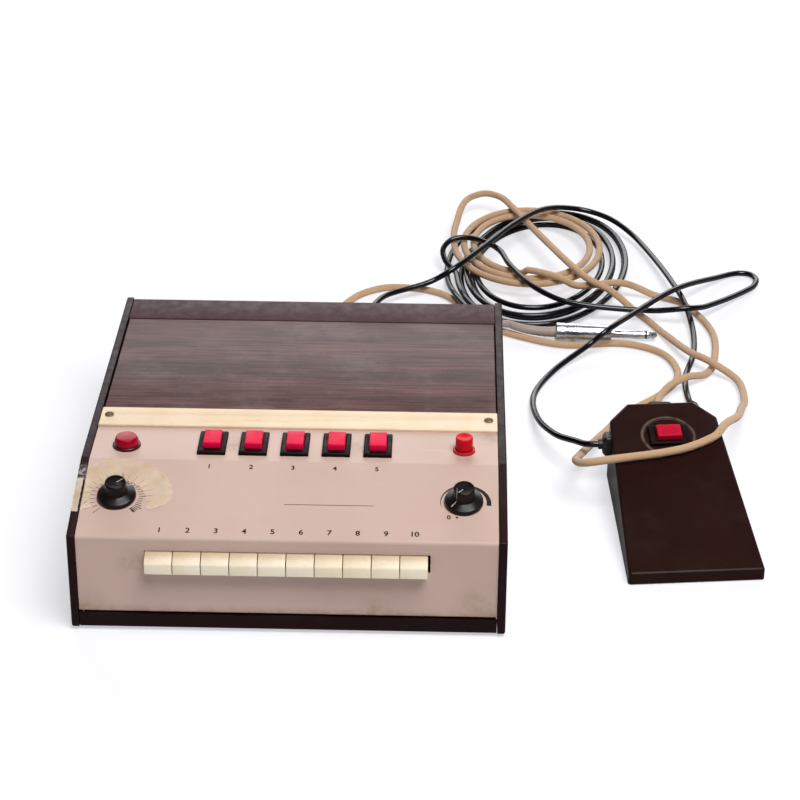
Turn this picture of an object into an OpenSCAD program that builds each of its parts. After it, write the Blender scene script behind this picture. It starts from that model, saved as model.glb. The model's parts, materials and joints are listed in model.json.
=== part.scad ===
// Rhythm machine in a low desk case with ten selector keys, five push buttons,
// two knobs, a pilot lamp and a foot switch on a lead.
// X is to the right, Y to the rear, Z up. The origin is the centre of the base tray's underside.

/* [Case] */
// Width over both side cheeks
case_w = 270; // [262:1:300]
// Depth from the front foot to the rear
case_d = 300; // [285:1:330]
// Height of the flat top above the base tray
case_h = 80; // [78:1:86]
// Height of the bend between front and slope
front_h = 65; // [63:1:68]
// How far the front leans back up to that bend
front_lean = 3.5; // [2:0.5:6]
// Depth of the sloping part
slope_d = 70; // [66:1:74]
// Depth of the flat deck that holds the push buttons
deck_d = 40; // [36:1:42]
// Thickness of a side cheek
cheek_t = 5; // [4:0.5:8]
// How far the panels lie below the cheeks' edges
panel_recess = 1.2; // [0.8:0.1:1.8]
// Chamfer on the cheeks' outer edges
cheek_chamfer = 0.8; // [0.4:0.1:1.2]
// Thickness of the folded sheet metal
sheet_t = 1.5; // [1:0.1:2]
// Height of the base tray's front lip
rail_h = 10.5; // [8:0.5:13]
// Gap between a panel and its neighbour
panel_gap = 0.4; // [0.3:0.1:0.8]

/* [Top] */
// Depth of the cream trim strip
strip_d = 23.5; // [20:0.5:27]
// Thickness of the trim strip
strip_t = 2; // [1.5:0.1:3]
// Distance of a trim screw from the inside of its cheek
trim_screw_in = 6; // [5:0.5:10]
// Diameter of a trim screw's head
trim_screw_d = 6; // [5:0.5:7]
// Depth of the rear strip
rear_strip_d = 32; // [28:1:36]
// Thickness of the wood panel
wood_t = 6; // [4:0.5:8]
// Shadow gap on each side of the wood panel
wood_gap = 1; // [0.5:0.1:1.6]
// Width of the ledges that carry the wood panel
ledge_w = 8; // [6:1:12]
// Thickness of those ledges
ledge_t = 4; // [3:0.5:6]

/* [Selector keys] */
// Number of keys
key_count = 10; // [8:1:10]
// Distance from key to key
key_pitch = 17.4; // [16:0.1:18]
// Gap between two keys
key_gap = 0.35; // [0.3:0.05:0.6]
// Height of the slot's lower edge above the base
slot_z = 42.3; // [41:0.1:44]
// Height of the slot
slot_h = 12.7; // [11.5:0.1:14]
// Spare width of the slot beside the keys
slot_spare = 1.6; // [1:0.1:3]
// How far a key stands out of the front
key_reach = 7.6; // [6:0.2:9]
// Height of a key's upright front face
key_face_h = 7.8; // [6:0.2:9]
// Travel of a key
key_travel = 4; // [3:0.5:5]
// Width of a key's stem
stem_w = 8; // [6:0.5:10]
// Height of a key's stem
stem_h = 3; // [2:0.5:4]

/* [Push buttons] */
// Number of push buttons
button_count = 5; // [3:1:5]
// Distance from button to button
button_pitch = 26.5; // [24:0.5:30]
// Width of a button's cap
cap_w = 11; // [9:0.5:12]
// Length of a button's cap
cap_l = 16.8; // [15:0.2:18]
// How far a cap stands out of its bezel
cap_rise = 3.8; // [3.4:0.2:5]
// Travel of a cap
cap_travel = 2.5; // [1.5:0.5:3]
// Width of a bezel
bezel_w = 18; // [17:0.5:20]
// Length of a bezel
bezel_l = 26.6; // [25:0.2:28]
// Height of a bezel above the deck
bezel_h = 2.8; // [2:0.1:3.5]
// Distance of the push buttons behind the lamp and the start button
button_back = 2.6; // [1:0.2:3]
// Height of a push switch's body
switch_h = 20; // [16:1:24]
// Clearance between a moving button and its guide
guide_gap = 0.3; // [0.3:0.05:0.5]

/* [Round fittings] */
// Distance of lamp, start button and knobs from the centre
side_x = 108; // [106:0.5:110]
// Diameter of the start button
start_d = 11; // [9:0.5:12]
// Height of the start button above the deck
start_rise = 10.5; // [9:0.5:12]
// Travel of the start button
start_travel = 3; // [2:0.5:4]
// Diameter of the lamp's flange
lamp_flange_d = 18.3; // [16:0.1:20]
// Diameter of the lamp's jewel
jewel_d = 15.6; // [14.8:0.2:16]
// Height of the jewel above the flange
jewel_h = 5; // [4:0.5:6]
// Diameter of a knob's skirt
knob_d = 24.4; // [22:0.2:27]
// Diameter of a knob's grip at its foot
grip_d = 13.9; // [13:0.1:15]
// Height of a knob
knob_h = 12; // [11:0.2:14]
// Distance of the knobs up the slope from its lower bend
knob_up = 35.5; // [33:0.5:38]
// Diameter of a knob's shaft
shaft_d = 6; // [5:0.1:6.4]
// Radial clearance of a shaft in its bush and knob
shaft_fit = 0.05; // [0.02:0.01:0.08]
// Diameter of a potentiometer's can
pot_d = 24; // [20:1:26]

/* [Rear fittings] */
// Diameter of the 6.35 mm jack socket's bore
socket_bore_d = 6.5; // [6.4:0.05:6.6]
// Height of the rear fittings above the base
rear_fitting_z = 26; // [20:1:34]
// Length of a cord gland's tapered nose
gland_nose = 24; // [20:1:30]

/* [Foot switch] */
// Length of the foot switch
foot_l = 152; // [148:1:160]
// Width at its front edge
foot_w_front = 89.3; // [86:0.5:94]
// Width at its rear edge
foot_w_rear = 72.6; // [72:0.4:78]
// Height at its front edge
foot_h_front = 8.7; // [7.5:0.1:10]
// Height at its rear edge
foot_h_rear = 49.4; // [46:0.2:54]
// Size of the rear corners' chamfer across
foot_chamfer_w = 13.3; // [11:0.1:15]
// Size of the rear corners' chamfer lengthwise
foot_chamfer_l = 15.1; // [12:0.1:18]
// Wall of the foot switch's housing
foot_wall = 2.5; // [2:0.1:3]
// Rounding of the housing's edges
foot_round = 2.2; // [1.6:0.1:3]
// Distance of its button from the front edge
foot_button_v = 119.5; // [116:0.5:121]
// Diameter of the round recess about its button
foot_ring_d = 34; // [33:0.5:38]

/* [Plugs and leads] */
// Diameter of the black leads
black_d = 4.5; // [4:0.1:4.6]
// Diameter of the tan lead
tan_d = 5.5; // [5:0.1:5.6]
// Diameter of the jack plug's shaft
jack_d = 6.35; // [6.3:0.01:6.4]
// Length of the jack plug's shaft and tip
jack_l = 36; // [32:0.5:40]
// Diameter of the jack plug's barrel
barrel_d = 15; // [13:0.5:17]
// Length of the barrel
barrel_l = 43; // [38:0.5:48]
// Diameter of a mains plug pin
pin_d = 4; // [3.8:0.05:4.2]
// Length of a mains plug pin
pin_l = 19; // [17:0.5:20]
// Distance between the pins
pin_pitch = 18.6; // [17:0.1:19.5]

/* [Hidden] */

$fn = 48;
front_y = -case_d / 2;
rear_y = case_d / 2 - panel_recess;
inner_w = case_w - 2 * cheek_t;
deck_z = case_h - panel_recess;
ground_z = -2;
bend_1 = [front_lean, front_h];
bend_2 = [front_lean + slope_d, case_h];
deck_end = bend_2.x + deck_d;
strip_end = deck_end + strip_d;
rear_strip_start = case_d - rear_strip_d;
ledge_z = deck_z - wood_t;
cheek_profile = [[0, 0], [case_d, 0], [case_d, case_h], bend_2, bend_1];

// ---------- outlines ----------
function unit(v) = v / norm(v);
function left_normal(a, b) = let(u = unit(b - a)) [-u.y, u.x];

// A corner of an anticlockwise outline, moved inwards by a distance
function inset_corner(a, b, c, inset) =
    let(m = left_normal(a, b), n = left_normal(b, c))
    b + inset * (m + n) / (1 + m * n);

function inset_outline(points, inset) =
    let(count = len(points))
    [for (i = [0:count - 1])
        inset_corner(points[(i + count - 1) % count], points[i], points[(i + 1) % count], inset)];

// The arc that rounds corner b between a and c
function corner_arc(a, b, c, r, steps) =
    let(u = unit(a - b),
        w = unit(c - b),
        half = acos(u * w) / 2,
        centre = b + unit(u + w) * r / sin(half),
        p = b + u * r / tan(half) - centre,
        q = b + w * r / tan(half) - centre,
        start = atan2(p.y, p.x),
        turn = atan2(p.x * q.y - p.y * q.x, p * q))
    [for (i = [0:steps]) centre + r * [cos(start + turn * i / steps), sin(start + turn * i / steps)]];

// An outline with corner i rounded to radii[i]; a radius of 0 keeps the corner sharp
function rounded(points, radii, steps = 5) =
    let(count = len(points))
    [for (i = [0:count - 1])
        each radii[i] == 0
            ? [points[i]]
            : corner_arc(points[(i + count - 1) % count], points[i], points[(i + 1) % count],
                         radii[i], steps)];

function all_round(points, r) = rounded(points, [for (p = points) r]);

function box_outline(w, l) = [[-w / 2, -l / 2], [w / 2, -l / 2], [w / 2, l / 2], [-w / 2, l / 2]];

// Bends of the panels at a distance inside the cheeks' profile
function lower_bend(inset) = inset_corner(bend_2, bend_1, [0, 0], inset);
function upper_bend(inset) = inset_corner([case_d, case_h], bend_2, bend_1, inset);

// The point at height z on a line parallel to the front
function front_point(z, inset) =
    lower_bend(inset) + (z - lower_bend(inset).y) * [front_lean / front_h, 1];

// ---------- placing ----------
// A profile given as [distance from the front, height], made into a bar along X
module bar_x(x, w) {
    translate([x, front_y, 0])
        rotate([90, 0, 90])
            linear_extrude(w)
                children();
}

// A place on the flat deck, Z up from its painted face
deck_button_y = front_y + bend_2.x + deck_d * 0.425;

module on_deck(x, back = 0) {
    translate([x, deck_button_y + back, deck_z])
        children();
}

// A place on the slope, Z square to its painted face
slope_angle = atan2(case_h - front_h, slope_d);

module on_slope(x) {
    low = lower_bend(panel_recess);
    translate([x, front_y + low.x, low.y])
        rotate([slope_angle, 0, 0])
            translate([0, knob_up, 0])
                children();
}

// A place on the rear panel, Z straight out to the rear
module on_rear(x) {
    translate([x, rear_y, rear_fitting_z])
        rotate([-90, 0, 0])
            children();
}

module plate(points, t) {
    linear_extrude(t)
        polygon(points);
}

// A block with its top edges bevelled
module bevelled_block(w, l, h, bevel) {
    hull() {
        plate(box_outline(w, l), h - bevel);
        plate(box_outline(w - 2 * bevel, l - 2 * bevel), h);
    }
}

// ---------- case ----------
module cheek() {
    hull() {
        bar_x(inner_w / 2, cheek_t - cheek_chamfer)
            polygon(all_round(cheek_profile, 1.5));
        bar_x(inner_w / 2, cheek_t)
            polygon(all_round(inset_outline(cheek_profile, cheek_chamfer), 1.5));
    }
    // ledge under the wood panel and the rear strip
    translate([inner_w / 2 - ledge_w, front_y + strip_end, ledge_z - ledge_t])
        cube([ledge_w + 0.01, case_d - strip_end - panel_recess - 2 * sheet_t, ledge_t]);
    // batten along the foot, which the base tray is screwed to
    translate([inner_w / 2 - ledge_w, front_y + 20, sheet_t])
        cube([ledge_w + 0.01, case_d - 40, ledge_w]);
}

module left_cheek() {
    color("#4a3434")
        mirror([1, 0, 0])
            cheek();
}

module right_cheek() {
    color("#4a3434")
        cheek();
}

foot_hole_x = inner_w / 2 - 24;
foot_hole_y = case_d / 2 - 30;
foot_screw_d = 4;
rubber_foot_d = 16;

module at_feet() {
    for (x = [-foot_hole_x, foot_hole_x])
        for (y = [-foot_hole_y, foot_hole_y])
            translate([x, y, 0])
                children();
}

tray_w = inner_w - 2 * panel_gap;
tray_front = 0.6;

module base_tray() {
    color("#2e2022")
        difference() {
            // bottom with an upright lip along the front
            bar_x(-tray_w / 2, tray_w)
                polygon(rounded([[tray_front, 0],
                                 [case_d - panel_recess, 0],
                                 [case_d - panel_recess, sheet_t],
                                 [tray_front + sheet_t, sheet_t],
                                 [tray_front + sheet_t, rail_h],
                                 [tray_front, rail_h]],
                                [2, 0, 0, 0.5, 0, 0]));
            at_feet()
                translate([0, 0, -1])
                    cylinder(d = foot_screw_d, h = sheet_t + 2);
        }
}

module rubber_feet() {
    color("#1c1a1a")
        at_feet()
            translate([0, 0, ground_z]) {
                rotate_extrude()
                    polygon(rounded([[0, 0], [rubber_foot_d / 2 - 1, 0],
                                     [rubber_foot_d / 2, -ground_z], [0, -ground_z]],
                                    [0, 0.6, 0, 0]));
                // screw shank with its nut on the tray's inside
                translate([0, 0, -ground_z])
                    cylinder(d = foot_screw_d - 0.6, h = sheet_t + 3);
                translate([0, 0, -ground_z + sheet_t])
                    cylinder(d = 8, h = 2.4, $fn = 6);
            }
}

fascia_lip = 8;
fascia_foot_z = rail_h + 0.7;
fascia_w = inner_w - 2 * panel_gap;
knob_hole_d = 9.6;
lamp_hole_d = 12.8;
start_hole_d = start_d + 2;
bezel_neck_w = cap_w + 4;
bezel_neck_l = cap_l + 2.5;
slot_w = key_count * key_pitch + slot_spare;
first_key_x = -key_count * key_pitch / 2 - 0.3;

module fascia_panel() {
    out = panel_recess;
    in = panel_recess + sheet_t;
    color("#cdb9ac")
        difference() {
            bar_x(-fascia_w / 2, fascia_w)
                polygon(rounded([front_point(fascia_foot_z, out),
                                 front_point(fascia_foot_z, out) + [fascia_lip, 0],
                                 front_point(fascia_foot_z, out) + [fascia_lip, sheet_t],
                                 front_point(fascia_foot_z + sheet_t, in),
                                 lower_bend(in),
                                 upper_bend(in),
                                 [strip_end - panel_gap, case_h - in],
                                 [strip_end - panel_gap, case_h - out],
                                 upper_bend(out),
                                 lower_bend(out)],
                                [1.2, 0, 0, 0.5, 1, 1, 0, 0, 3, 2.5]));
            // slot for the selector keys
            translate([first_key_x - 0.3, front_y - 1, slot_z])
                cube([slot_w, 14, slot_h]);
            for (i = [0:button_count - 1])
                on_deck(button_x(i), button_back)
                    translate([0, 0, -sheet_t - 1])
                        plate(box_outline(bezel_neck_w + 0.4, bezel_neck_l + 0.4), sheet_t + 2);
            on_deck(-side_x)
                translate([0, 0, -sheet_t - 1])
                    cylinder(d = lamp_hole_d, h = sheet_t + 2);
            on_deck(side_x)
                translate([0, 0, -sheet_t - 1])
                    cylinder(d = start_hole_d, h = sheet_t + 2);
            for (x = [-side_x, side_x])
                on_slope(x)
                    translate([0, 0, -sheet_t - 1])
                        cylinder(d = knob_hole_d, h = sheet_t + 2);
            for (side = [-1, 1])
                translate([side * trim_screw_x, front_y + trim_screw_y, deck_z - sheet_t - 1])
                    cylinder(d = trim_shank_d + 0.6, h = sheet_t + 2);
        }
}

function button_x(i) = (i - (button_count - 1) / 2) * button_pitch;

trim_screw_x = inner_w / 2 - trim_screw_in;
trim_screw_y = deck_end + strip_d * 0.55;
trim_shank_d = 3;
trim_shank_l = 8;
strip_gap = 0.3;

module trim_strip() {
    w = inner_w - 2 * strip_gap;
    color("#f3e3cb")
        difference() {
            translate([0, front_y + deck_end + strip_d / 2, deck_z])
                bevelled_block(w, strip_d - panel_gap, strip_t, 0.5);
            for (side = [-1, 1])
                translate([side * trim_screw_x, front_y + trim_screw_y, deck_z - 1])
                    cylinder(d = trim_shank_d + 0.6, h = strip_t + 2);
        }
}

module trim_screws() {
    color("#8c7a58")
        for (side = [-1, 1])
            translate([side * trim_screw_x, front_y + trim_screw_y, deck_z + strip_t])
                difference() {
                    rotate_extrude()
                        polygon(concat([[0, -trim_shank_l], [trim_shank_d / 2, -trim_shank_l],
                                        [trim_shank_d / 2, 0], [trim_screw_d / 2, 0]],
                                       [for (i = [0:6])
                                            [trim_screw_d / 2 * cos(15 * i), 0.4 + 0.9 * sin(15 * i)]]));
                    // screwdriver slot
                    translate([-trim_screw_d / 2, -0.4, 0.7])
                        cube([trim_screw_d, 0.8, 2]);
                }
}

module wood_panel() {
    w = inner_w - 2 * wood_gap;
    color("#6f5f5c")
        translate([-w / 2, front_y + strip_end, ledge_z])
            cube([w, rear_strip_start - strip_end - panel_gap, wood_t]);
}

module rear_strip() {
    w = inner_w - 2 * strip_gap;
    color("#5d4a4a")
        bar_x(-w / 2, w)
            polygon(rounded([[rear_strip_start, ledge_z],
                             [case_d - panel_recess, ledge_z],
                             [case_d - panel_recess, deck_z + 0.4],
                             [rear_strip_start, deck_z + 0.4]],
                            [0, 0, 1.5, 0]));
}

mains_gland_x = -12;
audio_gland_x = 22;
socket_x = 62;
gland_hole_d = 12;
socket_hole_d = 9.6;

module rear_panel() {
    w = inner_w - 2 * panel_gap;
    color("#3a2c2c")
        difference() {
            translate([-w / 2, rear_y - sheet_t, sheet_t])
                cube([w, sheet_t, ledge_z - sheet_t]);
            for (x = [mains_gland_x, audio_gland_x])
                on_rear(x)
                    translate([0, 0, -sheet_t - 1])
                        cylinder(d = gland_hole_d, h = sheet_t + 2);
            on_rear(socket_x)
                translate([0, 0, -sheet_t - 1])
                    cylinder(d = socket_hole_d, h = sheet_t + 2);
        }
}

// ---------- knobs ----------
knob_lift = 1;
knob_wall = 1.8;
pot_nut_h = 2.2;
pot_bush_rise = 5;
knob_socket_top = knob_h - 3;
knob_dish_depth = 0.6;
grip_foot_z = 4.4;
pointer_w = 0.8;
pointer_depth = 0.4;

module knob() {
    skirt = knob_d / 2;
    grip = grip_d / 2;
    top = grip - 0.4;
    dish = top - 1;
    hollow = max(pot_nut_h + 0.6, pot_bush_rise - knob_lift + 0.5);
    difference() {
        rotate_extrude()
            polygon(rounded([[shaft_d / 2 + shaft_fit, 0.2], [skirt, 0.2], [skirt - 0.3, 2.2],
                             [skirt - 2.6, 3.2], [grip, grip_foot_z], [top, knob_h],
                             [0.01, knob_h], [0.01, knob_socket_top],
                             [shaft_d / 2 + shaft_fit, knob_socket_top]],
                            [0, 0.1, 0.8, 1, 1, 0.8, 0, 0, 0], 4));
        // hollow underside, clear of the nut and the bush
        translate([0, 0, -1])
            cylinder(r = skirt - knob_wall, h = 1 + 1.4);
        translate([0, 0, -1])
            cylinder(r = grip + 0.6, h = 1 + pot_nut_h + 0.2);
        translate([0, 0, -1])
            cylinder(d = knob_hole_d + 0.4, h = 1 + hollow);
        // shallow dish in the top
        translate([0, 0, knob_h - knob_dish_depth])
            cylinder(r1 = dish - 0.4, r2 = dish, h = knob_dish_depth + 0.01);
        // pointer groove from the middle of the top, and down the front of the grip
        translate([-pointer_w / 2, -grip - 1, knob_h - knob_dish_depth - pointer_depth])
            cube([pointer_w, grip + 1, knob_h]);
        translate([-pointer_w / 2, -grip - 1, grip_foot_z])
            cube([pointer_w, grip + 1 - (top - pointer_depth), knob_h]);
    }
}

module placed_knob(x, turn) {
    on_slope(x)
        translate([0, 0, knob_lift])
            rotate([0, 0, turn])
                knob();
}

// it points to the upper right of its scale
tempo_rest_turn = 130;

module tempo_knob() {
    color("#1d1716")
        placed_knob(-side_x, tempo_rest_turn);
}

// it points at its off mark, low on the left
volume_rest_turn = -45;

module volume_knob() {
    color("#1d1716")
        placed_knob(side_x, volume_rest_turn);
}

pot_can_h = 10;
pot_face = -sheet_t - 2;

module shaft(x) {
    color("#b9b9bd")
        on_slope(x)
            translate([0, 0, pot_face - pot_can_h + 1.5])
                cylinder(d = shaft_d, h = knob_lift + knob_socket_top - 0.5 - (pot_face - pot_can_h + 1.5));
}

module tempo_shaft() {
    shaft(-side_x);
}

module volume_shaft() {
    shaft(side_x);
}

module potentiometers() {
    color("#8f8f93")
        for (x = [-side_x, side_x])
            on_slope(x)
                difference() {
                    union() {
                        // can, shoulder, threaded bush and nut
                        translate([0, 0, pot_face - pot_can_h])
                            cylinder(d = pot_d, h = pot_can_h);
                        translate([0, 0, pot_face - 0.01])
                            cylinder(d = 13, h = -sheet_t - pot_face + 0.01);
                        translate([0, 0, pot_face])
                            cylinder(d = knob_hole_d - 0.6, h = pot_bush_rise - pot_face);
                        cylinder(d = 13, h = pot_nut_h, $fn = 6);
                        // solder tags
                        for (t = [-5, 0, 5])
                            translate([t - 1, -pot_d / 2 - 6, pot_face - 3])
                                cube([2, 8, 0.8]);
                    }
                    translate([0, 0, pot_face - pot_can_h + 1])
                        cylinder(d = shaft_d + 2 * shaft_fit, h = pot_can_h + 20);
                }
}

// ---------- pilot lamp ----------
lamp_rim_h = 1.8;
lamp_neck_h = 11;
lamp_bore_d = 10.4;

module lamp_bezel() {
    color("#3c0c10")
        on_deck(-side_x)
            rotate_extrude()
                polygon(rounded([[lamp_bore_d / 2, -lamp_neck_h],
                                 [lamp_hole_d / 2 - 0.3, -lamp_neck_h],
                                 [lamp_hole_d / 2 - 0.3, 0],
                                 [lamp_flange_d / 2, 0],
                                 [lamp_flange_d / 2 - 0.5, lamp_rim_h],
                                 [lamp_bore_d / 2, lamp_rim_h]],
                                [0, 0, 0, 0, 0.8, 0]));
}

module lamp_jewel() {
    color("#d01030", 0.8)
        on_deck(-side_x)
            rotate_extrude()
                polygon([[0, -2], [lamp_bore_d / 2 - 0.3, -2], [lamp_bore_d / 2 - 0.3, lamp_rim_h],
                         [jewel_d / 2, lamp_rim_h], [jewel_d / 2 - 0.3, lamp_rim_h + jewel_h * 0.6],
                         [jewel_d / 2 - 1.3, lamp_rim_h + jewel_h], [0, lamp_rim_h + jewel_h]]);
}

lamp_cup_h = 20;

module lamp_holder() {
    color("#c9b98c")
        on_deck(-side_x)
            translate([0, 0, -lamp_neck_h]) {
                // socket cup under the bezel's neck
                translate([0, 0, -lamp_cup_h])
                    difference() {
                        cylinder(d = lamp_hole_d + 2, h = lamp_cup_h);
                        translate([0, 0, 6])
                            cylinder(d = lamp_bore_d, h = lamp_cup_h);
                    }
                // bulb with its screw cap, standing in the cup
                rotate_extrude()
                    polygon([[0, 6 - lamp_cup_h], [3.4, 6 - lamp_cup_h], [3.4, -6], [2.6, -5],
                             for (i = [0:6]) [3.1 * cos(-50 + 23 * i), 0.5 + 3.1 * sin(-50 + 23 * i)],
                             [0, 3.6]]);
            }
}

// ---------- start button ----------
start_under = 3;
start_collar_h = 1.8;
start_body = 17;
start_body_h = 16;

module start_button() {
    r = start_d / 2;
    dish = 0.9;
    color("#d8102a")
        on_deck(side_x)
            rotate_extrude()
                polygon(concat([[0, -start_under - 8], [2, -start_under - 8], [2, -start_under],
                                [r, -start_under], [r, start_rise - 0.5], [r - 0.5, start_rise]],
                               [for (i = [1:6])
                                    [(r - 1) * (1 - i / 6), start_rise - dish * (1 - pow(1 - i / 6, 2))]]));
}

module start_switch() {
    r = start_d / 2 + guide_gap;
    neck = start_hole_d / 2 - 0.2;
    low = -start_under - start_travel - 1;
    on_deck(side_x)
        difference() {
            union() {
                color("#b01024")
                    rotate_extrude()
                        polygon([[0.5, 0], [neck + 0.9, 0], [neck + 0.6, start_collar_h],
                                 [0.5, start_collar_h]]);
                color("#d9d3c2") {
                    translate([0, 0, low])
                        cylinder(r = neck, h = -low + 0.01);
                    translate([0, 0, low - start_body_h])
                        plate(box_outline(start_body, start_body), start_body_h);
                }
            }
            translate([0, 0, low])
                cylinder(r = r, h = -low + start_collar_h + 1);
            translate([0, 0, low - start_body_h + 3])
                cylinder(r = 2 + guide_gap, h = start_body_h);
        }
}

// ---------- push buttons ----------
// Each piece is drawn about its own centre with Z up from the panel's face
cap_under = 2;
cap_stem = 4;
cap_stem_l = 8;
neck_depth = sheet_t + 1.5;

module cap() {
    foot = -neck_depth - cap_under;
    translate([0, 0, foot])
        bevelled_block(cap_w, cap_l, bezel_h + cap_rise - foot, 0.5);
    translate([0, 0, foot - cap_stem_l])
        plate(box_outline(cap_stem, cap_stem), cap_stem_l + 0.01);
}

module bezel() {
    difference() {
        union() {
            bevelled_block(bezel_w, bezel_l, bezel_h, 0.8);
            translate([0, 0, -neck_depth])
                plate(box_outline(bezel_neck_w, bezel_neck_l), neck_depth + 0.01);
        }
        translate([0, 0, -neck_depth - 1])
            plate(box_outline(cap_w + 2 * guide_gap, cap_l + 2 * guide_gap), neck_depth + bezel_h + 2);
    }
}

module push_switch() {
    well = cap_under + cap_travel + 0.5;
    translate([0, 0, -neck_depth - switch_h]) {
        difference() {
            plate(box_outline(bezel_neck_w, bezel_neck_l), switch_h);
            translate([0, 0, switch_h - well])
                plate(box_outline(cap_w + 2 * guide_gap, cap_l + 2 * guide_gap), well + 1);
            translate([0, 0, switch_h - well - cap_stem_l - 0.5])
                plate(box_outline(cap_stem + 2 * guide_gap, cap_stem + 2 * guide_gap), switch_h);
        }
        // solder pins
        for (x = [-4, 4])
            for (y = [-6, 0, 6])
                translate([x - 0.5, y - 0.25, -4])
                    cube([1, 0.5, 4.01]);
    }
}

module push_button(number) {
    color("#e01838")
        on_deck(button_x(number - 1), button_back)
            cap();
}

module button_bezels() {
    color("#2a2228")
        for (i = [0:button_count - 1])
            on_deck(button_x(i), button_back)
                bezel();
}

module push_switches() {
    color("#d9d3c2")
        for (i = [0:button_count - 1])
            on_deck(button_x(i), button_back)
                push_switch();
}

// ---------- selector keys ----------
key_back = 14;
key_clear = 0.3;
stem_l = 38;
guide_t = 2;
guide_front = key_back + key_travel + 2;
guide_rear = 44;
guide_h = 24;
slot_face = front_y + front_point(slot_z + slot_h / 2, panel_recess).x;
stem_z = slot_z + slot_h / 2;

function key_x(i) = first_key_x + (i + 0.5) * key_pitch;

module selector_key(number) {
    low = slot_z + key_clear;
    high = slot_z + slot_h - key_clear;
    w = key_pitch - key_gap;
    color("#efe2c8")
        translate([key_x(number - 1) - w / 2, 0, 0]) {
            translate([0, slot_face, 0])
                rotate([90, 0, 90])
                    linear_extrude(w)
                        polygon(rounded([[-key_reach, low], [key_back, low], [key_back, high],
                                         [-0.5, high], [-key_reach, low + key_face_h]],
                                        [0.6, 0, 0, 3, 2.5]));
            translate([(w - stem_w) / 2, slot_face + key_back - 0.01, stem_z - stem_h / 2])
                cube([stem_w, stem_l, stem_h]);
        }
}

module key_frame() {
    w = slot_w + 12;
    x = first_key_x - 6;
    low = stem_z - guide_h / 2;
    bracket_w = 5;
    color("#a8a49c")
        translate([0, slot_face, 0])
            difference() {
                union() {
                    // front and rear guide plates on a common floor
                    translate([x, guide_front, low])
                        cube([w, guide_t, guide_h]);
                    translate([x, guide_rear, low])
                        cube([w, guide_t, guide_h]);
                    translate([x, guide_front, low])
                        cube([w, guide_rear + guide_t - guide_front, guide_t]);
                    // end brackets that stand on the base tray
                    for (side = [x, x + w - bracket_w])
                        translate([side, guide_front, sheet_t])
                            cube([bracket_w, guide_rear + guide_t - guide_front, low - sheet_t + 0.01]);
                }
                for (i = [0:key_count - 1])
                    translate([key_x(i) - stem_w / 2 - key_clear, guide_front - 1,
                               stem_z - stem_h / 2 - key_clear])
                        cube([stem_w + 2 * key_clear, guide_rear - guide_front + 5,
                              stem_h + 2 * key_clear]);
            }
}

// ---------- inside ----------
board_w = 150;
board_l = 110;
board_t = 1.6;
board_z = sheet_t + 10;
board_x = 30;
board_y = 40;
spacer_d = 6;
smoothing_d = 16;
smoothing_l = 34;
smoothing_place = [-50, 18];
part_place = [4, 30];
part_pitch = 9;
small_capacitor_d = 6;
small_capacitor_h = 11;
transistor_d = 5;
transistor_h = 6;
transistor_rows = [-34, -14, 6];

module circuit_board() {
    translate([board_x, board_y, board_z]) {
        color("#8a6b34")
            plate(box_outline(board_w, board_l), board_t);
        // spacers down to the base tray
        color("#c9c9c9")
            for (x = [-1, 1])
                for (y = [-1, 1])
                    translate([x * (board_w / 2 - spacer_d), y * (board_l / 2 - spacer_d),
                               sheet_t - board_z])
                        cylinder(d = spacer_d, h = board_z - sheet_t);
        // two smoothing capacitors, lying down, and a row of upright ones
        color("#5878a0")
            for (side = [-1, 1])
                translate([smoothing_place.x, side * smoothing_place.y, board_t + smoothing_d / 2])
                    rotate([0, 90, 0])
                        cylinder(d = smoothing_d, h = smoothing_l);
        color("#d8d0c0")
            for (i = [0:6])
                translate([part_place.x + i * part_pitch, part_place.y, board_t])
                    cylinder(d = small_capacitor_d, h = small_capacitor_h, $fn = 24);
        // rows of metal-can transistors
        color("#b8b8bc")
            for (i = [0:6])
                for (y = transistor_rows)
                    translate([part_place.x + i * part_pitch, y, board_t])
                        cylinder(d = transistor_d, h = transistor_h, $fn = 24);
    }
}

core_size = [54, 36, 45];
core_place = [-85, 70];
core_limb = core_size.x / 6;
winding_gap = 0.3;
winding_bulge = core_size.x / 6;
strap_t = 2;
strap_w = 16;
strap_ear = 8;

// Core with two windows, a winding round its middle limb, and a strap under it
module mains_transformer() {
    window = [core_limb, core_size.y + 2, core_size.z - 2 * core_limb];
    winding = [4 * core_limb - 2 * winding_gap, core_size.y + 2 * winding_bulge,
               window.z - 2 * winding_gap];
    translate([core_place.x, core_place.y, sheet_t]) {
        color("#6a6a6e")
            translate([-core_size.x / 2, -core_size.y / 2, strap_t])
                difference() {
                    cube(core_size);
                    for (x = [core_limb, 4 * core_limb])
                        translate([x, -1, core_limb])
                            cube(window);
                }
        color("#b08850")
            translate([-winding.x / 2, -winding.y / 2, strap_t + core_limb + winding_gap])
                difference() {
                    cube(winding);
                    translate([core_limb, winding_bulge - winding_gap, -1])
                        cube([2 * core_limb - 2 * winding_gap, core_size.y + 2 * winding_gap,
                              winding.z + 2]);
                }
        color("#8a8a8e")
            translate([-core_size.x / 2 - strap_ear, -strap_w / 2, 0])
                cube([core_size.x + 2 * strap_ear, strap_w, strap_t]);
    }
}

// ---------- rear fittings ----------
module gland() {
    neck = gland_hole_d / 2 - 0.3;
    rotate_extrude()
        polygon(rounded([[0, -sheet_t - 2], [neck + 2.5, -sheet_t - 2], [neck + 2.5, -sheet_t],
                         [neck, -sheet_t], [neck, 0], [neck + 3, 0], [neck + 2.6, 2.4],
                         [neck - 0.8, 3], [neck - 2, gland_nose], [0, gland_nose]],
                        [0, 0, 0, 0, 0, 0, 0.6, 0.6, 0.6, 0]));
}

module cord_glands() {
    color("#17161a")
        for (x = [mains_gland_x, audio_gland_x])
            on_rear(x)
                gland();
}

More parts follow.
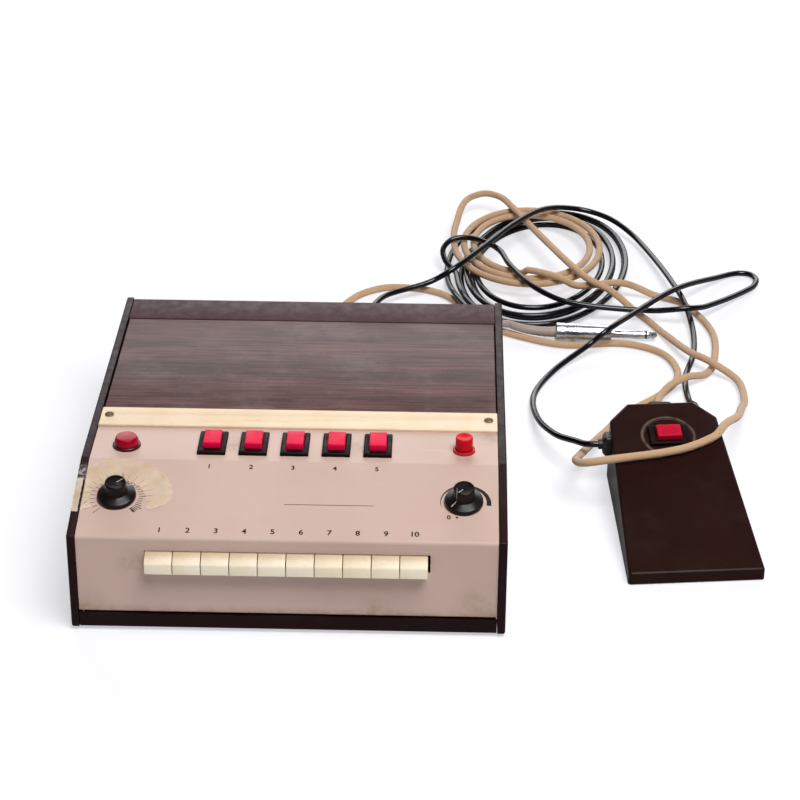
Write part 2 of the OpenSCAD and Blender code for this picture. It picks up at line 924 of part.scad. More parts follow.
socket_bush_rise = 4;
socket_body_l = 22;

module foot_jack_socket() {
    color("#2a2a2e")
        on_rear(socket_x)
            difference() {
                union() {
                    translate([0, 0, -sheet_t - socket_body_l])
                        plate(box_outline(16, 14), socket_body_l);
                    translate([0, 0, -sheet_t - 0.01])
                        cylinder(d = socket_hole_d - 0.6, h = sheet_t + socket_bush_rise);
                    cylinder(d = 14, h = 2.5, $fn = 6);
                }
                translate([0, 0, 2 - sheet_t - socket_body_l])
                    cylinder(d = socket_bore_d, h = socket_body_l + sheet_t + 10);
            }
}

// ---------- foot switch ----------
foot_x = 259.5;
foot_y = -85;
foot_turn = 5.8;
foot_slope = atan2(foot_h_rear - foot_h_front, foot_l);
shell_lift = 0.6;
foot_plate_z = 1.2;
foot_plate_t = 1.6;

module foot_frame() {
    translate([foot_x, foot_y, ground_z])
        rotate([0, 0, foot_turn])
            children();
}

function foot_top(v) = foot_h_front + (foot_h_rear - foot_h_front) * v / foot_l;
function foot_half(v) = foot_w_front / 2 - (foot_w_front - foot_w_rear) / 2 * v / foot_l;

// Plan of the foot switch, anticlockwise from the front left corner
foot_plan = [
    [-foot_half(0), 0],
    [foot_half(0), 0],
    [foot_half(foot_l - foot_chamfer_l), foot_l - foot_chamfer_l],
    [foot_w_rear / 2 - foot_chamfer_w, foot_l],
    [foot_chamfer_w - foot_w_rear / 2, foot_l],
    [-foot_half(foot_l - foot_chamfer_l), foot_l - foot_chamfer_l]
];

// A wedge over the plan, with its edges rounded to r and its faces moved in by inset
module wedge(inset, r, low) {
    hull()
        for (p = inset_outline(foot_plan, inset + r)) {
            translate([p.x, p.y, low])
                cylinder(r = r, h = 0.5, $fn = 24);
            translate([p.x, p.y, foot_top(p.y) - (inset + r) / cos(foot_slope)])
                sphere(r = r, $fn = 24);
        }
}

module on_foot_top() {
    translate([0.6, foot_button_v, foot_top(foot_button_v)])
        rotate([foot_slope, 0, 0])
            rotate([0, 0, 90])
                children();
}

foot_ring_depth = 0.8;
gland_v = foot_l - 23;
gland_z = 30;

module foot_shell() {
    color("#2c1715")
        foot_frame()
            difference() {
                wedge(0, foot_round, shell_lift);
                wedge(foot_wall, 0.8, -4);
                on_foot_top() {
                    // round recess, and the hole for the bezel's neck
                    translate([0, 0, -foot_ring_depth])
                        cylinder(d = foot_ring_d, h = 5);
                    translate([0, 0, -10])
                        plate(box_outline(bezel_neck_w + 0.4, bezel_neck_l + 0.4), 12);
                }
            }
}

module foot_base() {
    color("#241312")
        foot_frame()
            difference() {
                translate([0, 0, foot_plate_z])
                    plate(inset_outline(foot_plan, foot_wall + 0.3), foot_plate_t);
                for (p = foot_screw_places)
                    translate([p.x, p.y, -1])
                        cylinder(d = 3.4, h = 6);
            }
}

// Four places at a distance inside the housing's sides, two near the front and two near the rear
function foot_places(front, rear, inside) =
    [for (v = [front, foot_l - rear]) for (side = [-1, 1]) [side * (foot_half(v) - inside), v]];

foot_screw_places = foot_places(50, 24, 13);
foot_pad_places = foot_places(14, 42, 11);
foot_pad_d = 12;

module foot_pads() {
    color("#151313")
        foot_frame()
            for (p = foot_pad_places)
                translate([p.x, p.y, 0])
                    cylinder(d = foot_pad_d, h = foot_plate_z);
}

module foot_bezel() {
    color("#17141a")
        foot_frame()
            on_foot_top()
                translate([0, 0, -foot_ring_depth])
                    bezel();
}

module foot_button() {
    color("#e01838")
        foot_frame()
            on_foot_top()
                translate([0, 0, -foot_ring_depth])
                    cap();
}

module foot_push_switch() {
    color("#d9d3c2")
        foot_frame()
            on_foot_top()
                translate([0, 0, -foot_ring_depth])
                    push_switch();
}

foot_gland_out = 8;
foot_taper = atan2((foot_w_front - foot_w_rear) / 2, foot_l);

module foot_gland() {
    color("#0e0c0e")
        foot_frame()
            translate([-foot_half(gland_v), gland_v, gland_z])
                rotate([0, -90, -foot_taper]) {
                    hull() {
                        plate(all_round(box_outline(15, 11), 2), 3);
                        plate(all_round(box_outline(12, 8), 2), 5);
                    }
                    cylinder(d = 7, h = foot_gland_out);
                }
}

// ---------- leads ----------
// A tube along a path, as one polyhedron; radii holds one radius for each point
function path_direction(path, i) =
    let(last = len(path) - 1,
        back = i == 0 ? [0, 0, 0] : unit(path[i] - path[i - 1]),
        ahead = i == last ? [0, 0, 0] : unit(path[i + 1] - path[i]))
    unit(back + ahead);

function path_ring(path, i, r, sides) =
    let(ahead = path_direction(path, i),
        side = unit(cross([0, 0, 1], ahead)),
        top = cross(ahead, side))
    [for (k = [0:sides - 1]) path[i] + r * (cos(360 * k / sides) * side + sin(360 * k / sides) * top)];

module tube(path, radii, sides) {
    last = len(path) - 1;
    end = last * sides;
    polyhedron(
        points = [for (i = [0:last]) each path_ring(path, i, radii[i], sides)],
        faces = concat(
            [for (k = [1:sides - 2]) [0, k, k + 1]],
            [for (k = [1:sides - 2]) [end, end + k + 1, end + k]],
            [for (i = [0:last - 1])
                for (k = [0:sides - 1])
                    let(a = i * sides + k, b = i * sides + (k + 1) % sides)
                    each [[a, a + sides, b + sides], [a, b + sides, b]]]));
}

module lead(path, d, sides = 8) {
    tube(path, [for (p = path) d / 2], sides);
}

// Eased step from 0 to 1
function eased(t) = let(u = max(0, min(1, t))) u * u * (3 - 2 * u);

// The foot switch lead's coil lies in two layers. It spirals in on the floor, clockwise from above,
// climbs over the half turn where it reverses, and spirals out again
floor_gap = 0.05;
lay_gap = 0.6;
black_floor = ground_z + black_d / 2 + floor_gap;
black_turns_in = 2.85;
black_end_angle = 1875;
loop_step = 15;

function black_coil(angle) =
    let(turn = angle / 360,
        inward = black_turns_in - abs(turn - black_turns_in),
        past = max(0, turn - black_turns_in),
        open = eased(angle / 230),
        rx = 45 + (30 - 9 * inward) * open,
        ry = 117 - 13 * inward,
        y = -ry * cos(angle),
        layer = eased(2 * (turn - black_turns_in) + 0.5))
    [139 + 33 * open + 1.5 * past - rx * sin(angle) + 0.12 * y * open,
     373 - 2 * past + y,
     black_floor + (black_d + lay_gap) * layer + 8.2 * (1 - eased((angle - 45) / 45))];

black_loops = [for (a = [0:loop_step:black_end_angle]) black_coil(a)];

// The mains lead's loops lie on top of it, anticlockwise from above, and draw in a little
tan_end_angle = 792;
tan_lay_z = black_floor + (black_d + lay_gap) + (black_d + tan_d) / 2 + lay_gap;

function tan_coil(angle) =
    let(size = 1 - 0.13 * angle / 360)
    [163 - 62 * size * cos(angle), 394 - 76 * size * sin(angle), tan_lay_z];

tan_loops = [for (a = [0:loop_step:tan_end_angle]) tan_coil(a)];

// Least gap of a wound lead to itself, measured on points along its chords a quarter turn or more apart
function chord_points(path) =
    [for (i = [0:len(path) - 2]) for (t = [0:3]) path[i] + t / 4 * (path[i + 1] - path[i])];

function least_gap(path, d) =
    let(p = chord_points(path), apart = 4 * 90 / loop_step)
    min([for (i = [0:len(p) - 1 - apart]) for (j = [i + apart:len(p) - 1]) norm(p[i] - p[j])]) - d;

echo(foot_lead_loops_gap = least_gap(black_loops, black_d));
echo(mains_lead_loops_gap = least_gap(tan_loops, tan_d));

// Direction of a path's first and last stretch
function first_way(path) = unit(path[1] - path[0]);
function last_way(path) = unit(path[len(path) - 1] - path[len(path) - 2]);

// Where the leads leave the machine and the foot switch
function rear_exit(x) = [x, rear_y + gland_nose, rear_fitting_z];
foot_exit_way = [-cos(foot_taper - foot_turn), sin(foot_taper - foot_turn), 0];
foot_exit = [foot_x - foot_half(gland_v) * cos(foot_turn) - gland_v * sin(foot_turn),
             foot_y - foot_half(gland_v) * sin(foot_turn) + gland_v * cos(foot_turn),
             ground_z + gland_z]
            + foot_gland_out * foot_exit_way;

// Flat mains plug and round audio plug, behind the foot switch, pins towards the front
mains_plug_size = [35.3, 35, 13.7];
mains_plug_nose = 5;
mains_plug_end = [251, 135, ground_z + mains_plug_size.z / 2];
audio_plug_d = 15;
audio_plug_end = [278, 124, ground_z + audio_plug_d / 2];

// From the machine past the foot switch's left, over its top and back to the loops
mains_route = concat(
    [rear_exit(mains_gland_x), rear_exit(mains_gland_x) + [0, 7, 0]],
    [[-3, 235, 8], [22, 312, 1], [50, 331, 1], [92, 320, 1], [124, 269, 1], [165, 243, 1],
     [190, 236, 1], [232, 240, 1], [261, 224, 1], [270, 192, 1], [258, 164, 1], [228, 131, 1],
     [209, 96, 4], [188, 37, 19.5], [185, 20, 26], [189, 6, 32.5], [202, 3, 36.4], [254, 17, 37.6],
     [279, 30, 41], [287, 43, 43], [299, 70, 34], [307, 108, 19], [315, 150, 4], [313, 182, 2.5],
     [294, 199, 8.5], [280, 216, 7.5], [262, 262, 1], [247, 290, 1], [226, 308, 12],
     [206, 319, 18.5], [176, 390, 17], [150, 456, 17], [140, 479, 16], [126, 488, 15],
     [111, 478, 13], [103, 438, 11]],
    [tan_loops[0] - 8 * first_way(tan_loops), tan_loops[0]]);

// From the loops to the plug
mains_end_route = concat(
    [tan_loops[len(tan_loops) - 1], tan_loops[len(tan_loops) - 1] + 6.5 * last_way(tan_loops)],
    [[160, 334, 17], [185, 321, 17], [199, 317, 12], [236, 325, 11], [262, 322, 2], [283, 310, 1],
     [302, 262, 1], [299, 212, 1], [291, 192, 1.5], [276, 176, 7.5], [262, 163, 7.5],
     [253, 149, 5.5]],
    [mains_plug_end + [0, 6, 0], mains_plug_end]);

// From the machine over the loops to its plug
audio_route = concat(
    [rear_exit(audio_gland_x), rear_exit(audio_gland_x) + [0, 6, 0]],
    [[27, 225, 12], [44, 300, 7], [82, 325, 9.5], [101, 331, 19], [122, 359, 23], [152, 410, 24],
     [178, 444, 21.5], [208, 460, 14], [234, 449, 10], [256, 416, 5], [281, 310, 9], [287, 268, 3],
     [285, 228, 0.5], [275, 186, 0.5], [275, 150, 1]],
    [audio_plug_end + [0, 10, 0], audio_plug_end]);

// From the foot switch over the jack plug, round a wide bend on the right, and back to the coil
foot_route = concat(
    [foot_exit, foot_exit + 5 * foot_exit_way],
    [[186, 50, 24], [173, 71, 17], [162, 112, 7], [161, 156, 1], [176, 192, 1.5], [205, 224, 8.5],
     [217, 229, 17], [237, 254, 18], [277, 307, 15.5], [318, 357, 2.5], [333, 367, 1],
     [343, 365, 1], [347, 355, 1], [341, 340, 1], [300, 291, 8.5], [284, 279, 12.5], [254, 283, 8],
     [192, 287, 12], [165, 304, 16.5], [146, 342, 17.5], [137, 370, 18], [119, 389, 18],
     [101, 391, 17.2], [92, 381, 13], [94, 366, 8.5]],
    [black_loops[len(black_loops) - 1] + 9 * last_way(black_loops),
     black_loops[len(black_loops) - 1]]);

module mains_lead_run() {
    color("#c99a63")
        lead(mains_route, tan_d);
}

module mains_lead_loops() {
    color("#c99a63")
        lead(tan_loops, tan_d, 6);
}

module mains_lead_end() {
    color("#c99a63")
        lead(mains_end_route, tan_d);
}

module audio_lead() {
    color("#17171d")
        lead(audio_route, black_d);
}

module foot_lead_run() {
    color("#17171d")
        lead(foot_route, black_d);
}

module foot_lead_loops() {
    color("#17171d")
        lead(black_loops, black_d, 6);
}

module mains_plug() {
    size = mains_plug_size;
    translate(mains_plug_end) {
        color("#1d1818") {
            rotate([90, 0, 0])
                cylinder(d1 = tan_d + 2.5, d2 = tan_d + 5.5, h = mains_plug_nose + 0.01);
            // body, narrower where the lead enters
            translate([0, -mains_plug_nose, -size.z / 2])
                plate([[-7, 0], [-size.x / 2, -16], [-size.x / 2, -size.y + 1.5],
                       [1.5 - size.x / 2, -size.y], [size.x / 2 - 1.5, -size.y],
                       [size.x / 2, 1.5 - size.y], [size.x / 2, -16], [7, 0]], size.z);
        }
        color("#c8ab5e")
            for (x = [-pin_pitch / 2, pin_pitch / 2])
                translate([x, 0.01 - mains_plug_nose - size.y, 0])
                    rotate([90, 0, 0])
                        cylinder(d = pin_d, h = pin_l);
    }
}

audio_plug_nose = 6;
audio_plug_grip = 32;
audio_plug_shell = 9;

module audio_plug() {
    shell_r = audio_plug_d / 2 - 0.9;
    translate(audio_plug_end)
        rotate([90, 0, 0]) {
            color("#1b1b1f")
                rotate_extrude()
                    polygon([[0, 0], [black_d / 2 + 1, 0], [black_d / 2 + 2, audio_plug_nose],
                             [audio_plug_d / 2 - 1, audio_plug_nose + 1],
                             [audio_plug_d / 2, audio_plug_nose + 3],
                             [audio_plug_d / 2, audio_plug_nose + audio_plug_grip],
                             [0, audio_plug_nose + audio_plug_grip]]);
            color("#c9ccd2")
                translate([0, 0, audio_plug_nose + audio_plug_grip - 0.01])
                    difference() {
                        cylinder(r = shell_r, h = audio_plug_shell);
                        translate([0, 0, 1])
                            cylinder(r = shell_r - 0.7, h = audio_plug_shell);
                    }
            // five contacts on an arc inside the shell
            color("#c9ccd2")
                for (a = [0:45:180])
                    translate([3.5 * cos(a), 3.5 * sin(a), audio_plug_nose + audio_plug_grip])
                        cylinder(d = 1.45, h = audio_plug_shell - 1, $fn = 16);
        }
}

// The jack plug rests on its barrel's rear edge and slopes down to its tip
jack_place = [179.8, 249, 5.5];
jack_pitch = 1.7;
jack_turn = 1.2;

module jack_plug() {
    r = jack_d / 2;
    tip = barrel_l + jack_l;
    translate(jack_place)
        rotate([0, 90 + jack_pitch, jack_turn]) {
            color("#d8dce4")
                rotate_extrude()
                    polygon(rounded([[0, 0], [barrel_d / 2 - 0.2, 0], [barrel_d / 2 - 0.9, barrel_l - 3],
                                     [barrel_d / 2 - 1.6, barrel_l], [r + 1.2, barrel_l],
                                     [r, barrel_l + 0.6], [r, tip - 9.5], [r, tip - 6.5],
                                     [r - 0.9, tip - 5.2], [r, tip - 3.6], [r - 0.6, tip - 2], [0, tip]],
                                    [0, 0.8, 0, 0.6, 0, 0, 0, 0, 0.3, 0.6, 0.6, 0]));
        }
}

sleeve_r = 4.2;
sleeve_tail_r = 2.9;

module jack_sleeve() {
    path = concat([jack_place, [170, 249, 5.7], [158, 250, 6.8], [148.5, 252.6, 8.1]],
                  [black_loops[0] - 5 * first_way(black_loops), black_loops[0]]);
    last = len(path) - 1;
    color("#a08f86")
        tube(path, [for (i = [0:last]) sleeve_r + (sleeve_tail_r - sleeve_r) * i / last], 12);
}

left_cheek();
right_cheek();
base_tray();
fascia_panel();
wood_panel();
rear_strip();
rear_panel();
trim_strip();
trim_screws();
rubber_feet();
tempo_knob();
volume_knob();
tempo_shaft();
volume_shaft();
potentiometers();
lamp_jewel();
lamp_bezel();
lamp_holder();
start_button();
start_switch();
push_button(1);  // push_button_1
push_button(2);  // push_button_2
push_button(3);  // push_button_3
push_button(4);  // push_button_4
push_button(5);  // push_button_5
button_bezels();
push_switches();
selector_key(1);  // key_1
selector_key(2);  // key_2
selector_key(3);  // key_3
selector_key(4);  // key_4
selector_key(5);  // key_5
selector_key(6);  // key_6
selector_key(7);  // key_7
selector_key(8);  // key_8
selector_key(9);  // key_9
selector_key(10);  // key_10
key_frame();
circuit_board();
mains_transformer();
cord_glands();
foot_jack_socket();
foot_shell();
foot_base();
foot_bezel();
foot_button();
foot_push_switch();
foot_gland();
foot_pads();
mains_lead_run();
mains_lead_loops();
mains_lead_end();
mains_plug();
audio_lead();
audio_plug();
foot_lead_run();
foot_lead_loops();
jack_sleeve();
jack_plug();
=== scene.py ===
import json
import math

import bmesh
import bpy
from mathutils import Matrix, Vector


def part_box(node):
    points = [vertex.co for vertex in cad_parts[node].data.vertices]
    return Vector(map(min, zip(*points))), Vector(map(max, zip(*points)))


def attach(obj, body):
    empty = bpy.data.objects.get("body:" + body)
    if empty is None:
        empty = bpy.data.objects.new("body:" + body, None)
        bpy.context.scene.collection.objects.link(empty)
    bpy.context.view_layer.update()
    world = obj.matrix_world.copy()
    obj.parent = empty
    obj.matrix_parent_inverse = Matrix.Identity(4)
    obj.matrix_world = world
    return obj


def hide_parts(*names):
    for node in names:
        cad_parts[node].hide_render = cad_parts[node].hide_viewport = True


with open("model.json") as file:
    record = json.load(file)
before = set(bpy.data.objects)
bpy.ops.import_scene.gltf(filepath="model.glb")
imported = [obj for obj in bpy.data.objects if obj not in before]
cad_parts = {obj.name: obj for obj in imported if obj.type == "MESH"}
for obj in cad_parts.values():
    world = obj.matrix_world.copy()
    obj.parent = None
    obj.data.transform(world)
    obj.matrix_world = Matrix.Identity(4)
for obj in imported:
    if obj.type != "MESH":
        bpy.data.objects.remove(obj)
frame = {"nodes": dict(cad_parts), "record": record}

scene = bpy.context.scene
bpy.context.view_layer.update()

# ---------- view ----------
# The camera stands in front of the machine, a little to the right of its middle, and looks down on it.
# Its place, turn and lens were solved from the straight edges of the case.
camera_place = Vector((0.09462, -1.30459, 0.81127))
camera_yaw = math.radians(-1.2777)
camera_pitch = math.radians(29.199)
camera_roll = math.radians(0.3273)
sensor_mm, lens_mm = 36, 101.69

look = Vector((math.sin(camera_yaw) * math.cos(camera_pitch),
               math.cos(camera_yaw) * math.cos(camera_pitch),
               -math.sin(camera_pitch)))
level = Vector((math.cos(camera_yaw), -math.sin(camera_yaw), 0))
upright = level.cross(look)
across = math.cos(camera_roll) * level + math.sin(camera_roll) * upright
overhead = math.cos(camera_roll) * upright - math.sin(camera_roll) * level

camera_data = bpy.data.cameras.new("camera")
camera_data.sensor_width = sensor_mm
camera_data.lens = lens_mm
camera_data.clip_end = 30
camera = bpy.data.objects.new("camera", camera_data)
camera.matrix_world = Matrix((across, overhead, -look)).transposed().to_4x4()
camera.matrix_world.translation = camera_place
scene.collection.objects.link(camera)
scene.camera = camera
scene.view_settings.view_transform = "Standard"


# ---------- foot switch lead ----------
# Glossy black two-core cable, 4.5 mm thick. It leaves the foot switch's gland, crosses the jack plug,
# turns back on the right and winds into a coil of two layers, whose lower end meets the plug's sleeve.
floor_z = -0.002
black_d = 0.0045


def metres(points):
    """Points in millimetres, as vectors in metres."""
    return [Vector(p) / 1000 for p in points]


def eased(t):
    """A step from 0 to 1 that starts and ends softly."""
    u = max(0.0, min(1.0, t))
    return u * u * (3 - 2 * u)


def smooth_line(points, step=0.004):
    """A smooth line through the points, straight in its first and last stretch."""
    gaps = [b - a for a, b in zip(points, points[1:])]
    ways = [gaps[0]] + [(a.normalized() * a.length + b.normalized() * b.length) / (a.length + b.length)
                        for a, b in zip(gaps, gaps[1:])] + [gaps[-1].normalized()]
    ways[0] = ways[1] = gaps[0].normalized()
    ways[-2] = gaps[-1].normalized()
    line = [points[0].copy()]
    for i in range(1, len(points) - 2):
        d = gaps[i].length
        count = max(2, round(d / step))
        for k in range(count):
            t = k / count
            line.append((2 * t**3 - 3 * t * t + 1) * points[i] + (t**3 - 2 * t * t + t) * d * ways[i]
                        + (3 * t * t - 2 * t**3) * points[i + 1] + (t**3 - t * t) * d * ways[i + 1])
    return line + [points[-2].copy(), points[-1].copy()]


def resting(line, d):
    """The line, nowhere lower than a lead of diameter d can lie."""
    return [Vector((p.x, p.y, max(p.z, floor_z + d / 2))) for p in line]


def tube(line, radii, sides=16):
    """A closed tube along a line. Its UV map runs once round it, and along it in metres."""
    bm = bmesh.new()
    uv = bm.loops.layers.uv.new("around_and_along")
    last = len(line) - 1
    ahead = (line[1] - line[0]).normalized()
    side = Vector((0, 0, 1)).cross(ahead).normalized()
    rings = []
    along = [0.0]
    for i, p in enumerate(line):
        way = (line[min(i + 1, last)] - line[max(i - 1, 0)]).normalized()
        side = (side - way * side.dot(way)).normalized()
        top = way.cross(side)
        turns = [2 * math.pi * k / sides for k in range(sides)]
        rings.append([bm.verts.new(p + radii[i] * (math.cos(a) * side + math.sin(a) * top)) for a in turns])
        if i:
            along.append(along[-1] + (p - line[i - 1]).length)
    for i in range(last):
        for k in range(sides):
            j = (k + 1) % sides
            face = bm.faces.new((rings[i][k], rings[i][j], rings[i + 1][j], rings[i + 1][k]))
            corners = ((k, i), (k + 1, i), (k + 1, i + 1), (k, i + 1))
            for loop, (round_it, along_it) in zip(face.loops, corners):
                loop[uv].uv = (round_it / sides, along[along_it])
    bm.faces.new(rings[0][::-1])
    bm.faces.new(rings[-1])
    bmesh.ops.recalc_face_normals(bm, faces=bm.faces)
    return bm


def piece(bm, name, material, body="root", place=None, stands_for=(), sharp=35):
    """Finishes a mesh as a piece of the object: in its place, riding on its body."""
    if place is not None:
        bm.transform(place)
    mesh = bpy.data.meshes.new(name)
    bm.to_mesh(mesh)
    bm.free()
    mesh.materials.append(material)
    mesh.shade_smooth()
    mesh.set_sharp_from_angle(angle=math.radians(sharp))
    thing = bpy.data.objects.new(name, mesh)
    scene.collection.objects.link(thing)
    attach(thing, body)
    if stands_for:
        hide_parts(*stands_for)
    return thing


def colour(code):
    """A screen colour such as d8c0a0 as linear red, green, blue and alpha."""
    parts = [int(code[i:i + 2], 16) / 255 for i in (0, 2, 4)]
    return tuple(c / 12.92 if c <= 0.04045 else ((c + 0.055) / 1.055) ** 2.4 for c in parts) + (1.0,)


def feed(tree, socket, value):
    """Links a socket to another one, or sets it to a plain value."""
    if isinstance(value, bpy.types.NodeSocket):
        tree.links.new(value, socket)
    else:
        socket.default_value = value


def maths(tree, operation, a, b=0.0):
    """A Math node on one or two values."""
    node = tree.nodes.new("ShaderNodeMath")
    node.operation = operation
    for socket, value in zip(node.inputs, (a, b)):
        feed(tree, socket, value)
    return node.outputs[0]


def mixed(tree, share, a, b):
    """Colour a, with that share of colour b."""
    node = tree.nodes.new("ShaderNodeMix")
    node.data_type = "RGBA"
    feed(tree, node.inputs[0], share)
    feed(tree, node.inputs[6], a)
    feed(tree, node.inputs[7], b)
    return node.outputs[2]


def between(tree, value, low, high, out_low=0.0, out_high=1.0):
    """A value's place between low and high as a soft step."""
    node = tree.nodes.new("ShaderNodeMapRange")
    node.interpolation_type = "SMOOTHSTEP"
    for socket, number in zip(node.inputs, (value, low, high, out_low, out_high)):
        feed(tree, socket, number)
    return node.outputs[0]


def noise(tree, where, scale, detail=3.0, roughness=0.55, stretch=(1, 1, 1)):
    """Cloudy noise, drawn out along the axes whose stretch is below 1."""
    mapping = tree.nodes.new("ShaderNodeMapping")
    mapping.inputs["Scale"].default_value = stretch
    feed(tree, mapping.inputs["Vector"], where)
    node = tree.nodes.new("ShaderNodeTexNoise")
    feed(tree, node.inputs["Vector"], mapping.outputs[0])
    node.inputs["Scale"].default_value = scale
    node.inputs["Detail"].default_value = detail
    node.inputs["Roughness"].default_value = roughness
    return node.outputs["Fac"]


def axes(tree, vector):
    """The X, Y and Z of a vector, as three values."""
    node = tree.nodes.new("ShaderNodeSeparateXYZ")
    feed(tree, node.inputs[0], vector)
    return node.outputs


def bumped(tree, shader, height, strength, distance):
    """Gives a shader small relief from a height pattern; the distance is in metres."""
    node = tree.nodes.new("ShaderNodeBump")
    node.inputs["Strength"].default_value = strength
    node.inputs["Distance"].default_value = distance
    feed(tree, node.inputs["Height"], height)
    feed(tree, shader.inputs["Normal"], node.outputs[0])


def start_material(name, **plain):
    """A new material with its shader, and the coordinates that its patterns lie on."""
    material = bpy.data.materials.new(name)
    material.use_nodes = True
    tree = material.node_tree
    shader = tree.nodes["Principled BSDF"]
    for label, value in plain.items():
        shader.inputs[label.replace("_", " ")].default_value = value
    where = tree.nodes.new("ShaderNodeTexCoord")
    return material, tree, shader, where


def start_group(name, inputs, outputs):
    """An empty shader group with named sockets: (label, kind, value) in, (label, kind) out."""
    tree = bpy.data.node_groups.new(name, "ShaderNodeTree")
    for label, kind, value in inputs:
        socket = tree.interface.new_socket(label, in_out="INPUT", socket_type=kind)
        if value is not None:
            socket.default_value = value
    for label, kind in outputs:
        tree.interface.new_socket(label, in_out="OUTPUT", socket_type=kind)
    return tree, tree.nodes.new("NodeGroupInput").outputs, tree.nodes.new("NodeGroupOutput").inputs


def place_group(tree, group, **values):
    """A shader group in a material, with its own values; returns its outputs."""
    node = tree.nodes.new("ShaderNodeGroup")
    node.node_tree = group
    for label, value in values.items():
        feed(tree, node.inputs[label], value)
    return node.outputs


# Dust that settles in flecks and in a thin uneven film, more on faces that look up
dust_group, dust_in, dust_out = start_group(
    "settled_dust",
    [("Where", "NodeSocketVector", None), ("Colour", "NodeSocketColor", (0.5, 0.5, 0.5, 1)),
     ("Dust", "NodeSocketColor", colour("cfc6bd")), ("Amount", "NodeSocketFloat", 0.3),
     ("Roughness", "NodeSocketFloat", 0.4)],
    [("Colour", "NodeSocketColor"), ("Roughness", "NodeSocketFloat")])
facing = axes(dust_group, dust_group.nodes.new("ShaderNodeNewGeometry").outputs["Normal"])
upward = between(dust_group, facing[2], -0.2, 0.9, 0.15, 1.0)
film = between(dust_group, noise(dust_group, dust_in["Where"], 22, 5, 0.65), 0.42, 0.75)
flecks = between(dust_group, noise(dust_group, dust_in["Where"], 900, 2, 0.5), 0.66, 0.74)
layer = maths(dust_group, "ADD", maths(dust_group, "MULTIPLY", film, 0.45),
              maths(dust_group, "MULTIPLY", flecks, 0.6))
dusty = maths(dust_group, "MULTIPLY", maths(dust_group, "MULTIPLY", layer, upward), dust_in["Amount"])
feed(dust_group, dust_out["Colour"], mixed(dust_group, dusty, dust_in["Colour"], dust_in["Dust"]))
feed(dust_group, dust_out["Roughness"],
     maths(dust_group, "ADD", dust_in["Roughness"], maths(dust_group, "MULTIPLY", dusty, 0.5)))


def dusted(tree, shader, own, tint, amount, roughness, **dust):
    """Gives a shader a colour and a roughness under settled dust."""
    spread = place_group(tree, dust_group, Where=own, Colour=tint, Amount=amount, Roughness=roughness,
                         **dust)
    feed(tree, shader.inputs["Base Color"], spread["Colour"])
    feed(tree, shader.inputs["Roughness"], spread["Roughness"])


def black_sheath():
    """Glossy black plastic cable sheath, slightly uneven."""
    material, tree, shader, where = start_material("black_sheath", Specular_IOR_Level=0.5)
    own = where.outputs["Object"]
    dusted(tree, shader, own, colour("08080e"), 0.04, 0.2)
    bumped(tree, shader, noise(tree, own, 260, 2), 0.25, 0.0004)
    return material


def black_coil(angle):
    """The coil's line: it spirals in on the floor, climbs where it reverses, and spirals out on top."""
    turns_in, centre_x, centre_y, floor_layer = 2.85, 139, 373, 0.3
    first_rx, wider, rx_step, outer_ry, ry_step, slant = 45, 30, 9, 117, 13, 0.12
    upper_layer, first_rise, opening_angle = 5.1, 8.2, 230
    turn = angle / 360
    inward = turns_in - abs(turn - turns_in)
    past = max(0.0, turn - turns_in)
    opened = eased(angle / opening_angle)
    a = math.radians(angle)
    rx = first_rx + (wider - rx_step * inward) * opened
    y = -(outer_ry - ry_step * inward) * math.cos(a)
    layer_z = (upper_layer * eased(2 * (turn - turns_in) + 0.5)
               + first_rise * (1 - eased((angle - 45) / 45)))
    return (centre_x + 33 * opened + 1.5 * past - rx * math.sin(a) + slant * y * opened,
            centre_y - 2 * past + y, floor_layer + layer_z)


coil_end_angle = 1875
coil_step = 5
black_loops = metres([black_coil(a) for a in range(0, coil_end_angle + 1, coil_step)])
foot_exit_way = Vector((-0.99892, -0.0464, 0))
foot_exit = Vector((0.20105, 0.03917, 0.028))
coil_way_out = (black_loops[-1] - black_loops[-2]).normalized()
coil_way_in = (black_loops[1] - black_loops[0]).normalized()

foot_route = [foot_exit, foot_exit + 0.005 * foot_exit_way] + metres([
    (186, 50, 24), (173, 71, 17), (162, 112, 7), (161, 156, 1), (176, 192, 1.5), (205, 224, 8.5),
    (217, 229, 17), (237, 254, 18), (277, 307, 15.5), (318, 357, 2.5), (333, 367, 1),
    (343, 365, 1), (347, 355, 1), (341, 340, 1), (300, 291, 8.5), (284, 279, 12.5), (254, 283, 8),
    (192, 287, 12), (165, 304, 16.5), (146, 342, 17.5), (137, 370, 18), (119, 389, 18),
    (101, 391, 17.2), (92, 381, 13), (94, 366, 8.5),
]) + [black_loops[-1] + 0.009 * coil_way_out, black_loops[-1]]

foot_line = resting(smooth_line(foot_route) + black_loops[-2::-1], black_d)
black = black_sheath()
foot_lead = piece(tube(foot_line, [black_d / 2] * len(foot_line)), "foot_switch_lead", black,
                  stands_for=("foot_lead_run", "foot_lead_loops"))


# ---------- jack plug and its sleeve ----------
# A chromed 6.35 mm plug turned from brass: barrel with a groove near its rear, shaft, black insulating
# ring and tip. A soft grey-beige sleeve tapers back over the lead.
jack_place = Vector((0.1798, 0.249, 0.0055))
jack_pitch = math.radians(1.7)
jack_turn = math.radians(1.2)
barrel_r, barrel_l = 0.0075, 0.043
shaft_r, jack_l = 0.003175, 0.036
on_jack = (Matrix.Translation(jack_place) @ Matrix.Rotation(jack_turn, 4, "Z")
           @ Matrix.Rotation(math.pi / 2 + jack_pitch, 4, "Y"))


